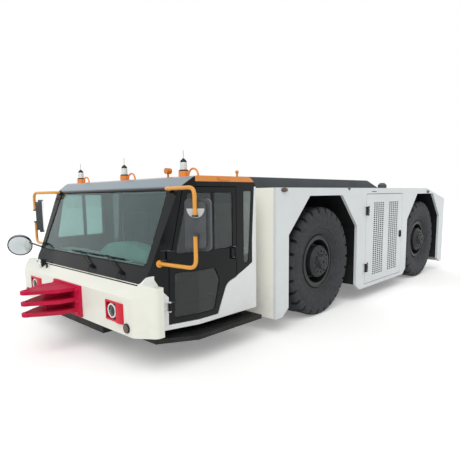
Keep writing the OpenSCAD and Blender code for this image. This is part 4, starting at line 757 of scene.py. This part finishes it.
# %% Bent mirror tubes
TUBE_RADIUS = 0.019
BEND = 0.085
HEAD_X, HEAD_Y, HEAD_Z = 2620, 1765, 1437
HEAD_GRIP = 85
FOOT_FLANGE = [(0, 0), (0.036, 0), (0.036, 0.008), (0.026, 0.012), (0, 0.012)]
ROOF_FLANGE = [(0, 0), (0.034, 0), (0.034, 0.010), (0.024, 0.014), (0, 0.014)]
parts = []
for side in (1, -1):
    upper = [at(2435, side * 1235, 1762), at(2530, side * 1235, 1772), at(HEAD_X, side * HEAD_Y, 1772),
             at(HEAD_X, side * HEAD_Y, HEAD_Z + HEAD_GRIP)]
    lower = [at(2670, side * 1288, 1052), at(HEAD_X, side * HEAD_Y, 1052),
             at(HEAD_X, side * HEAD_Y, HEAD_Z - HEAD_GRIP)]
    parts += [tube(eased(run, BEND), TUBE_RADIUS, tube_paint, around=5) for run in (upper, lower)]
    parts.append(turned(FOOT_FLANGE, at(2672, side * 1291, 1052), (0.2, side, 0), tube_paint, 24))
    parts.append(turned(ROOF_FLANGE, at(2462, side * 1235, 1765), (0.92, 0, 0.38), trim_black, 24))
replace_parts(settle("mirror_tubes", "chassis", "roof_orange", *parts), "mirror_arms")
print("mirror tubes bent")

# %% Mirror glass and clamps
HEAD_TURN = math.radians(28)
GLASS_HALF, GLASS_RISE, GLASS_BACK = 0.108, 0.220, 0.1095
CLAMP_RADIUS, CLAMP_TOP, CLAMP_BACK = 0.084, 0.150, 0.0195
COLLAR_HALF = Vector((0.022, 0.024, 0.010))
# silvered glass: a clean mirror
mirror_glass = moulded("silvered_mirror_glass", "#cfd6d8", "#c2cacc", rough=(0.02, 0.06), depth_mm=0.01,
                       metal=1.0)
parts = []
for side in (1, -1):
    ahead = Vector((math.cos(HEAD_TURN), side * math.sin(HEAD_TURN), 0))
    across = Vector((-side * math.sin(HEAD_TURN), math.cos(HEAD_TURN), 0))
    middle = at(HEAD_X, side * HEAD_Y, HEAD_Z)
    corners = [middle - ahead * GLASS_BACK + across * w * GLASS_HALF + Vector((0, 0, h * GLASS_RISE))
               for w, h in ((-1, -1), (1, -1), (1, 1), (-1, 1))]
    parts.append(sheet_cut(eased(corners, 0.05, closed=True), -ahead * 0.003, mirror_glass))
    half_round = []
    for a in [math.pi * k / 16 for k in range(17)]:
        drop = Vector((0, 0, CLAMP_TOP - CLAMP_RADIUS * math.sin(a)))
        half_round.append(middle - ahead * CLAMP_BACK + across * CLAMP_RADIUS * math.cos(a) + drop)
    parts.append(sheet_cut(half_round, ahead * 0.006, mirror_pale, edge=0.002))
    for h in (HEAD_GRIP, -HEAD_GRIP):
        spot = middle + Vector((0, 0, h * MM))
        parts.append(slab(spot - COLLAR_HALF, spot + COLLAR_HALF, mirror_grey, 0.005))
settle("mirror_glass_and_clamps", "chassis", "mirror_grey", *parts)

ROUND_FACE = Vector((0.3973, 0.8146, -0.4226))
ROUND_PLACE = at(2930, -1585, 1039)
ROUND_GLASS = [(0, 0.014), (0.05, 0.0125), (0.10, 0.008), (0.146, 0.001), (0.146, -0.002), (0, -0.002)]
ROUND_RIM = [(0.144, -0.004), (0.157, -0.010), (0.1595, 0.001), (0.155, 0.008), (0.148, 0.006),
             (0.144, -0.004)]
parts = [turned(ROUND_GLASS, ROUND_PLACE, ROUND_FACE, mirror_glass, 64),
         turned(ROUND_RIM, ROUND_PLACE, ROUND_FACE, trim_black, 64)]
settle("round_mirror_glass", "chassis", "trim_black", *parts)
print("mirror glass set")

# %% [markdown]
# ## Beacons
#
# Three flashing beacons stand on orange bases: a dark collar, a ribbed clear lens, a dark cap and a
# thin whip on top. The ribs come from a zigzag profile spun about the upright axis.

# %% Ribbed beacon lenses
UPRIGHT = Vector((0, 0, 1))
RIBS, RIB_STEP = 7, 0.010
BEACON_FEET = [at(2195, y, 1955) for y in (-1125, 0, 1125)]
COLLAR = [(0, 0), (0.050, 0), (0.050, 0.010), (0.046, 0.014), (0, 0.014)]
CAP = [(0, 0.090), (0.035, 0.090), (0.035, 0.098), (0.027, 0.114), (0.014, 0.124), (0.008, 0.132),
       (0, 0.132)]
WHIP = (0.130, 0.2145)
lens = [(0, 0.014), (0.037, 0.014)]
for k in range(RIBS):
    lens += [(0.0378, 0.018 + k * RIB_STEP), (0.0354, 0.023 + k * RIB_STEP)]
lens += [(0.034, 0.090), (0, 0.090)]
parts = []
for foot in BEACON_FEET:
    parts.append(turned(COLLAR, foot, UPRIGHT, trim_black))
    parts.append(turned(lens, foot, UPRIGHT, clear_lens, soft=20))
    parts.append(turned(CAP, foot, UPRIGHT, trim_black))
    parts.append(tube([foot + UPRIGHT * rise for rise in WHIP], 0.0035, zinc))
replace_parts(settle("beacon_lenses", "chassis", "beacon_clear", *parts), "beacons")
print("beacons modelled")

# %% [markdown]
# ## Seats
#
# A seat pad is foam in a sewn cloth cover: full in the middle, pulled in at its edges. Each pad is a
# rounded block that Blender's Cloth blows up with a little pressure. How far a point may move is
# capped, the result is applied, and one subdivision smooths it. Piping follows along the edge.

# %% Padded seats
VOXEL = 0.010
PUFF_FRAMES, PUFF_PRESSURE, PUFF_CAP = 20, 4, 0.026
SEAT_Y, PAD_HALF = 640, 240
# post, pan and back shell of a seat: low and high x, half width, low and high z, edge
SEAT_BLOCKS = ((1590, 1950, 168, 428.5, 720, 0.02), (1565, 2050, 235, 722, 764, 0.015),
               (1460.5, 1476, 225, 770, 1490, 0.006))
PIPING = ((-232, 912), (232, 912), (232, 1490), (-232, 1490))


def pad(name, low, high):
    """A block of foam in its cover, blown up a little."""
    piece = slab(low, high, seat_cloth, edge=0.035, soft=60)
    remesh = piece.modifiers.new("even_net", "REMESH")
    remesh.mode = "VOXEL"
    remesh.voxel_size = VOXEL
    bpy.ops.object.modifier_apply(modifier="even_net")
    rest = [v.co.copy() for v in piece.data.vertices]
    puff = piece.modifiers.new("puff", "CLOTH")
    puff.settings.use_pressure = True
    puff.settings.uniform_pressure_force = PUFF_PRESSURE
    puff.settings.effector_weights.gravity = 0
    for step in range(1, PUFF_FRAMES + 1):
        bpy.context.scene.frame_set(step)
    bpy.ops.object.modifier_apply(modifier="puff")
    bpy.context.scene.frame_set(1)
    for vertex, home_spot in zip(piece.data.vertices, rest):
        move = vertex.co - home_spot
        vertex.co = home_spot + move * min(1, PUFF_CAP / max(move.length, 1e-9))
    smooth = piece.modifiers.new("smooth", "SUBSURF")
    smooth.levels = smooth.render_levels = 1
    bpy.ops.object.modifier_apply(modifier="smooth")
    bpy.ops.object.shade_smooth()
    settle(name, "chassis", "seat_cloth", piece)
    return piece


cushion = pad("seat_cushion_left", at(1605, SEAT_Y - PAD_HALF, 785), at(2058, SEAT_Y + PAD_HALF, 880))
rest_pad = pad("seat_back_left", at(1482, SEAT_Y - PAD_HALF, 900), at(1558, SEAT_Y + PAD_HALF, 1498))
for piece, label in ((cushion, "seat_cushion_right"), (rest_pad, "seat_back_right")):
    copy = settle(label, "chassis", "seat_cloth", twin(piece, (0, -2 * SEAT_Y * MM, 0)))
parts = []
for y in (SEAT_Y, -SEAT_Y):
    for x0, x1, half, z0, z1, edge in SEAT_BLOCKS:
        parts.append(slab(at(x0, y - half, z0), at(x1, y + half, z1), trim_black, edge))
    corners = eased([at(1558, y + across, z) for across, z in PIPING], 0.06, closed=True)
    parts.append(tube(corners, 0.005, seal_rubber, closed=True))
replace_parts(settle("seat_frames", "chassis", "trim_black", *parts), "seats")
print("seats padded")

# %% [markdown]
# ## Inside the cab
#
# Through the windscreen the dash shows as a broad pale shelf with a rounded hood before the driver.
# The hood is one outline, drawn as seen from the front and extruded rearwards. Vents lie along the
# foot of the glass, switches face the driver, and dark lining covers the rear wall and the roof.

# %% Hood, vents, switches and lining
HOOD_FRONT, HOOD_DEPTH = 2560, 0.18
HOOD = ((-70, 1001), (-45, 1050), (140, 1152), (320, 1186), (550, 1190), (720, 1172), (880, 1130),
        (925, 1080), (915, 1001))
VENT_YS, VENT_HALF = range(-900, 901, 450), 150
SLAT_FIRST, SLAT_LAST, SLAT_STEP, SLAT_WIDE = -140, 100, 48, 40
SWITCH_YS, SWITCH_WIDE = range(60, 241, 60), 40
hood = eased([at(HOOD_FRONT, y, z) for y, z in HOOD], 0.05, closed=True)
# the hood, and the instrument panel under it
parts = [sheet_cut(hood, (-HOOD_DEPTH, 0, 0), dash_vinyl, edge=0.014),
         slab(at(2374, 0, 1006), at(2379, 850, 1110), trim_black, 0.002)]
for y in VENT_YS:
    parts.append(slab(at(2590, y - VENT_HALF, 1002), at(2650, y + VENT_HALF, 1008), trim_black, 0.003))
    for slat in range(y + SLAT_FIRST, y + SLAT_LAST + 1, SLAT_STEP):
        parts.append(slab(at(2594, slat, 1007), at(2646, slat + SLAT_WIDE, 1011), seal_rubber, 0.002))
parts += [slab(at(2322, y, 890), at(2331, y + SWITCH_WIDE, 950), trim_black, 0.004) for y in SWITCH_YS]
settle("dash_hood_and_vents", "chassis", "dash_teal", *parts)
# dark lining on the rear wall and roof: felt, and partly painted shade of the dim cab
lining = [slab(at(1401, -1330, 440), at(1407, 1330, 1740), lining_grey, 0.002),
          slab(at(1540, -1320, 1838), at(2250, 1320, 1845), lining_grey, 0.002)]
settle("cab_lining", "chassis", "trim_black", *lining)
print("cab fitted out")

# %% [markdown]
# ## Window seals
#
# Each pane sits in a rubber seal, a thin black line between glass and frame. The seal is a tube along
# the pane's own outline. The outlines repeat the drawing: they lie on the sloping screen or on the cab
# side, which is straight at the rear and tapers towards the front. One more dark strip on the bumper's
# ledge, along the cab's foot, is no seal: it is painted shade of the crease there.

# %% Seals round every pane
CAB_HALF, TAPER_START = 1395, 2260
TAPER = math.tan(math.radians(13.8))
FOOT_X, FOOT_Z, SCREEN_LEAN = 2770, 1000, 320 / 780
SCREEN_HALF = 1190
SIDE_SUNK, SCREEN_SUNK = 5, (4, 2)
SEAL = 0.0065
SCREEN_CORNER, PANE_CORNER = 0.070, 0.035
FRAME_BORDER = 52
SASH_BARS, SASH_ZS = (2029, 2055), (1130, 1733)


def shrunk(points, by):
    """An outline of (x, z) points moved inwards by a distance, for the pane inside a frame."""
    moved = []
    for i, here in enumerate(points):
        before, after = Vector(points[i - 1]), Vector(points[(i + 1) % len(points)])
        first = (Vector(here) - before).normalized()
        last = (after - Vector(here)).normalized()
        n, m = Vector((-first.y, first.x)), Vector((-last.y, last.x))
        moved.append(Vector(here) + by * (n + m) / (1 + n.dot(m)))
    return moved


def on_side(x, z, side):
    """A place on the side of the cab, sunk a little as a seal is."""
    return at(x, side * (CAB_HALF - max(0, x - TAPER_START) * TAPER - SIDE_SUNK), z)


def on_screen(y, z):
    """A place on the windscreen, sunk a little as a seal is."""
    return at(FOOT_X - SCREEN_LEAN * (z - FOOT_Z) - SCREEN_SUNK[0], y, z - SCREEN_SUNK[1])


def bent_sides(points, side):
    """Pane corners on the cab side, with one more point wherever an edge crosses the taper's start."""
    spots = []
    for i, (x, z) in enumerate(points):
        spots.append(on_side(x, z, side))
        nx, nz = points[(i + 1) % len(points)]
        if (x - TAPER_START) * (nx - TAPER_START) < 0:
            spots.append(on_side(TAPER_START, z + (nz - z) * (TAPER_START - x) / (nx - x), side))
    return spots


def seal(spots, radius):
    """A seal all round a pane."""
    return tube(eased(spots, radius, closed=True), SEAL, seal_rubber, closed=True)


upper = shrunk([(1690, 1078), (2572, 1078), (2405, 1785), (1690, 1785)], FRAME_BORDER)
lower = shrunk([(1992, 436), (2588, 436), (2572, 997), (1992, 997), (1900, 810)], FRAME_BORDER)
quarter = [(1570, 925), (1570, 1750), (1425, 1750), (1462, 1190), (1485, 925)]
screen = [on_screen(w * SCREEN_HALF, z) for w, z in ((-1, 1022), (1, 1022), (1, 1758), (-1, 1758))]
# a dark strip along the ledge: painted shade of the crease there, not a seal
painted_crease_shade = [at(2866, w * SCREEN_HALF, 855) for w in (-1, 1)]
fixed = [seal(screen, SCREEN_CORNER), tube(painted_crease_shade, SEAL, seal_rubber)]
for side, name in ((1, "left"), (-1, "right")):
    fixed.append(seal([on_side(x, z, side) for x, z in quarter], PANE_CORNER))
    panes = [seal(bent_sides([tuple(p) for p in run], side), PANE_CORNER) for run in (upper, lower)]
    panes += [tube([on_side(x, z, side) for z in SASH_ZS], SEAL, seal_rubber) for x in SASH_BARS]
    settle("door_seals_" + name, "cab_door_" + name, "trim_black", *panes)
settle("window_seals_and_crease_shade", "chassis", "trim_black", *fixed)
print("window seals laid")

# %% [markdown]
# ## Engine doors
#
# The perforated doors carry black hinge plates at their front edge and a black latch at the rear. A
# dark sheet behind the slots keeps them deep and even: it is painted shade of the engine bay behind them.

# %% Hinge plates, latches and backing
SIDE_SKIN = 1525
HINGE_ZS = (452, 1352)
PIN_OUT, PIN_RADIUS = 17, 0.0175
for side, name in ((1, "left"), (-1, "right")):
    skin = side * SIDE_SKIN
    # a dark sheet behind the slots: painted shade of the engine bay
    parts = [slab(at(-2417, skin - side * 6.5, 342), at(-1333, skin - side * 12, 1602), seal_rubber, 0.001)]
    for z in HINGE_ZS:
        parts.append(slab(at(-1262, skin, z - 4), at(-1186, skin + side * 13, z + 144), trim_black, 0.003))
        pin = [at(-1171, skin + side * PIN_OUT, z + rise) for rise in (1, 139)]
        parts.append(tube(pin, PIN_RADIUS, trim_black))
        for rise in (30, 110):
            parts.append(bolt(at(-1238, skin + side * 12.5, z + rise), (0, side, 0), 0.014, 0.006, zinc))
    # the latch and its grip
    parts += [slab(at(-2526, skin, 914), at(-2466, skin + side * 24, 1030), trim_black, 0.006),
              slab(at(-2508, skin + side * 23, 930), at(-2484, skin + side * 31, 1000), trim_black, 0.004)]
    settle("engine_door_fittings_" + name, "engine_door_" + name, "trim_black", *parts)
print("engine doors fitted")

# %% [markdown]
# ## Wheel wells
#
# Above the frame the wheel wells would be open to each other, and daylight would show over the tyres.
# A splash sheet stands on each edge of the frame up to the deck, cut to the deck's slope at the rear.

# %% Inner splash sheets
SPLASH_SHEET = 0.006
FRAME_EDGE, FRAME_TOP = 552, 1151
DECK_UNDER, SLOPE_UNDER = 1752, 1590
front_well = [(-870, FRAME_TOP), (870, FRAME_TOP), (870, DECK_UNDER), (-870, DECK_UNDER)]
rear_well = [(-4580, FRAME_TOP), (-2840, FRAME_TOP), (-2840, DECK_UNDER), (-3780, DECK_UNDER),
             (-4580, SLOPE_UNDER)]
parts = []
for side in (1, -1):
    for well in (front_well, rear_well):
        outline = [at(x, side * FRAME_EDGE, z) for x, z in well]
        parts.append(sheet_cut(outline, (0, side * SPLASH_SHEET, 0), chassis_black, edge=0.001))
settle("inner_splash_sheets", "chassis", "chassis_black", *parts)
print("wheel wells closed with", len(parts), "sheets")

# %% [markdown]
# ## Deck, boards and ledge
#
# Small fittings that break up the big plates: screw rows on the deck cover, grip bars
# on the running boards, and the lenses of the small lamps on the ledge, the bumper and the sides.

# %% Deck cover fittings
SCREW_XS = range(930, -2451, -260)
parts = [bolt(at(x, side * 800, 1815), (0, side, 0), 0.016, 0.008, charcoal_coat)
         for x in SCREW_XS for side in (1, -1)]
settle("deck_cover_fittings", "chassis", "cover_grey", *parts)
print("deck cover fitted:", len(parts), "pieces")

# %% Grip bars on the running boards
GRIPS, GRIP_STEP = 13, 0.075
bar = slab(at(1400, 1240, 299.5), at(1412, 1465, 304), chassis_black, 0.0015)
bars = [bar] + [twin(bar, (k * GRIP_STEP, 0, 0)) for k in range(1, GRIPS)]
left = settle("board_grips_left", "chassis", "chassis_black", *bars)
settle("board_grips_right", "chassis", "chassis_black", twin(left, mirrored=True))
print("grip bars laid:", len(bars), "a side")

# %% Lamps on ledge, bumper and sides
LEDGE_LAMP = at(2950, -890, 878)
LEDGE_LENS = [(0, 0.006), (0.022, 0.005), (0.036, 0.001), (0.036, -0.002), (0, -0.002)]
LEDGE_RIM = [(0.036, -0.004), (0.0435, -0.004), (0.0435, 0.005), (0.039, 0.007), (0.036, -0.004)]
BUMPER_LENS = [(0, 0.017), (0.024, 0.0165), (0.040, 0.015), (0.040, 0.0), (0, 0.0)]
BUMPER_RIM = [(0.039, 0.0), (0.047, 0.0), (0.047, 0.010), (0.043, 0.017), (0.039, 0.016), (0.039, 0.0)]
SIDE_DOME = [(0, 0.030), (0.014, 0.028), (0.024, 0.022), (0.0275, 0.012), (0.0275, 0.0), (0, 0.0)]
DOME_PLACES, DOME_STRETCH = ((982, 1752), (-3836, 1712.6)), 2.1
TRIANGLE = ((-652, 1776), (-560, 1776), (-612, 1742))
PLATE_MM = 4
parts = [turned(LEDGE_LENS, LEDGE_LAMP, FORWARD, clear_lens),
         turned(LEDGE_RIM, LEDGE_LAMP, FORWARD, chrome)]
for side in (1, -1):
    spot = at(3000, side * 1194, 467)
    parts.append(turned(BUMPER_LENS, spot, FORWARD, marker_lens))
    parts.append(turned(BUMPER_RIM, spot, FORWARD, trim_black))
    out = Vector((0, side, 0))
    for x, z in DOME_PLACES:
        spot = at(x, side * SIDE_SKIN, z)
        dome = turned(SIDE_DOME, spot, out, marker_lens)
        pick(dome)
        bpy.ops.transform.resize(value=(DOME_STRETCH, 1, 1), center_override=spot)
        bpy.ops.object.transform_apply()
        parts.append(dome)
    # a thin dark strip, painted shade of a small slot, and a three-cornered dark plate on the side
    painted_slot_shade = at(-1507, side * SIDE_SKIN, 1718), at(-1346, side * (SIDE_SKIN + PLATE_MM), 1728)
    parts.append(slab(*painted_slot_shade, trim_black, 0.001))
    corners = [at(x, side * SIDE_SKIN, z) for x, z in TRIANGLE]
    parts.append(sheet_cut(corners, out * PLATE_MM * MM, trim_black, edge=0.001))
settle("small_lamp_lenses", "chassis", "marker_dark", *parts)
print("small lamps glazed")

# %% [markdown]
# ## Tail
#
# The tail carries lamp clusters with ribbed lenses in black surrounds.

# %% Tail lamp surrounds
TAIL_SEAT = -4860.5
RAIL_ZS = ((980, 988), (1112, 1120))
POST_YS = ((1060, 1068), (1332, 1340), (1150, 1156), (1240, 1246))
LENS_RIB_ZS, LENS_RIB_HIGH = range(996, 1093, 12), 5
parts = []
for side in (1, -1):
    for z0, z1 in RAIL_ZS:
        parts.append(slab(at(-4900, side * 1062, z0), at(TAIL_SEAT, side * 1338, z1), trim_black, 0.003))
    for y0, y1 in POST_YS:
        parts.append(slab(at(-4898.5, side * y0, 986), at(TAIL_SEAT, side * y1, 1114), trim_black, 0.002))
    for z in LENS_RIB_ZS:
        rib = at(-4896.5, side * 1072, z), at(-4894, side * 1328, z + LENS_RIB_HIGH)
        parts.append(slab(*rib, tail_lens, 0.001))
settle("tail_lamp_surrounds", "chassis", "tail_red", *parts)
print("tail dressed")

# %% [markdown]
# ## Floor and light
#
# The photograph has a plain white ground. A pale floor takes the soft shadow. The sky is an even
# white seen by the camera and in reflections, and a quieter one where it lights the tractor,
# with one broad soft sun from the front left, so that a colour renders about as it was written.

# %% Studio
FLOOR_HALF, FLOOR_GLOW, FLOOR_PATCH_MM = 60, 0.22, 4000
SKY_LIGHT, SKY_SEEN = 0.62, 1.0
SUN_POWER, SUN_SPREAD = 1.5, math.radians(50)
SUN_WAY = Vector((-0.58, -0.34, -0.80))


def looked_at(tree):
    """1 for rays that come from the camera, from a reflection or through glass, 0 for light."""
    rays = add(tree, "LightPath").outputs
    either = add(tree, "Math", {0: rays["Is Camera Ray"], 1: rays["Is Glossy Ray"]}, operation="MAXIMUM")
    return add(tree, "Math", {0: either.outputs[0], 1: rays["Is Transmission Ray"]},
               operation="MAXIMUM").outputs[0]


fresh()
bpy.ops.mesh.primitive_plane_add(size=2 * FLOOR_HALF, location=(0, 0, 0))
floor = bpy.context.object
floor.name = "floor"
ground, tree, shader, where = start("pale_studio_floor", Roughness=0.9)
patch = mixed(tree, mottled(tree, where, FLOOR_PATCH_MM, 0.0, 1.0), "#f4f4f3", "#f0f0ef")
glow = add(tree, "Math", {0: looked_at(tree), 1: FLOOR_GLOW}, operation="MULTIPLY")
shader.inputs["Emission Color"].default_value = paint_card("#ffffff")
feed(tree, shader, Base_Color=patch, Emission_Strength=glow.outputs[0])
floor.data.materials.append(ground)

world = bpy.data.worlds.new("sky")
bpy.context.scene.world = world
world.use_nodes = True
sky = world.node_tree
level = add(sky, "MapRange", {"Value": looked_at(sky), "To Min": SKY_LIGHT, "To Max": SKY_SEEN})
backdrop = sky.nodes["Background"]
backdrop.inputs["Color"].default_value = paint_card("#ffffff")
sky.links.new(level.outputs[0], backdrop.inputs["Strength"])

sun_data = bpy.data.lights.new("soft_sun", "SUN")
sun_data.energy = SUN_POWER
sun_data.angle = SUN_SPREAD
sun = bpy.data.objects.new("soft_sun", sun_data)
sun.rotation_euler = SUN_WAY.to_track_quat("-Z", "Y").to_euler()
bpy.context.collection.objects.link(sun)
print("studio ready")
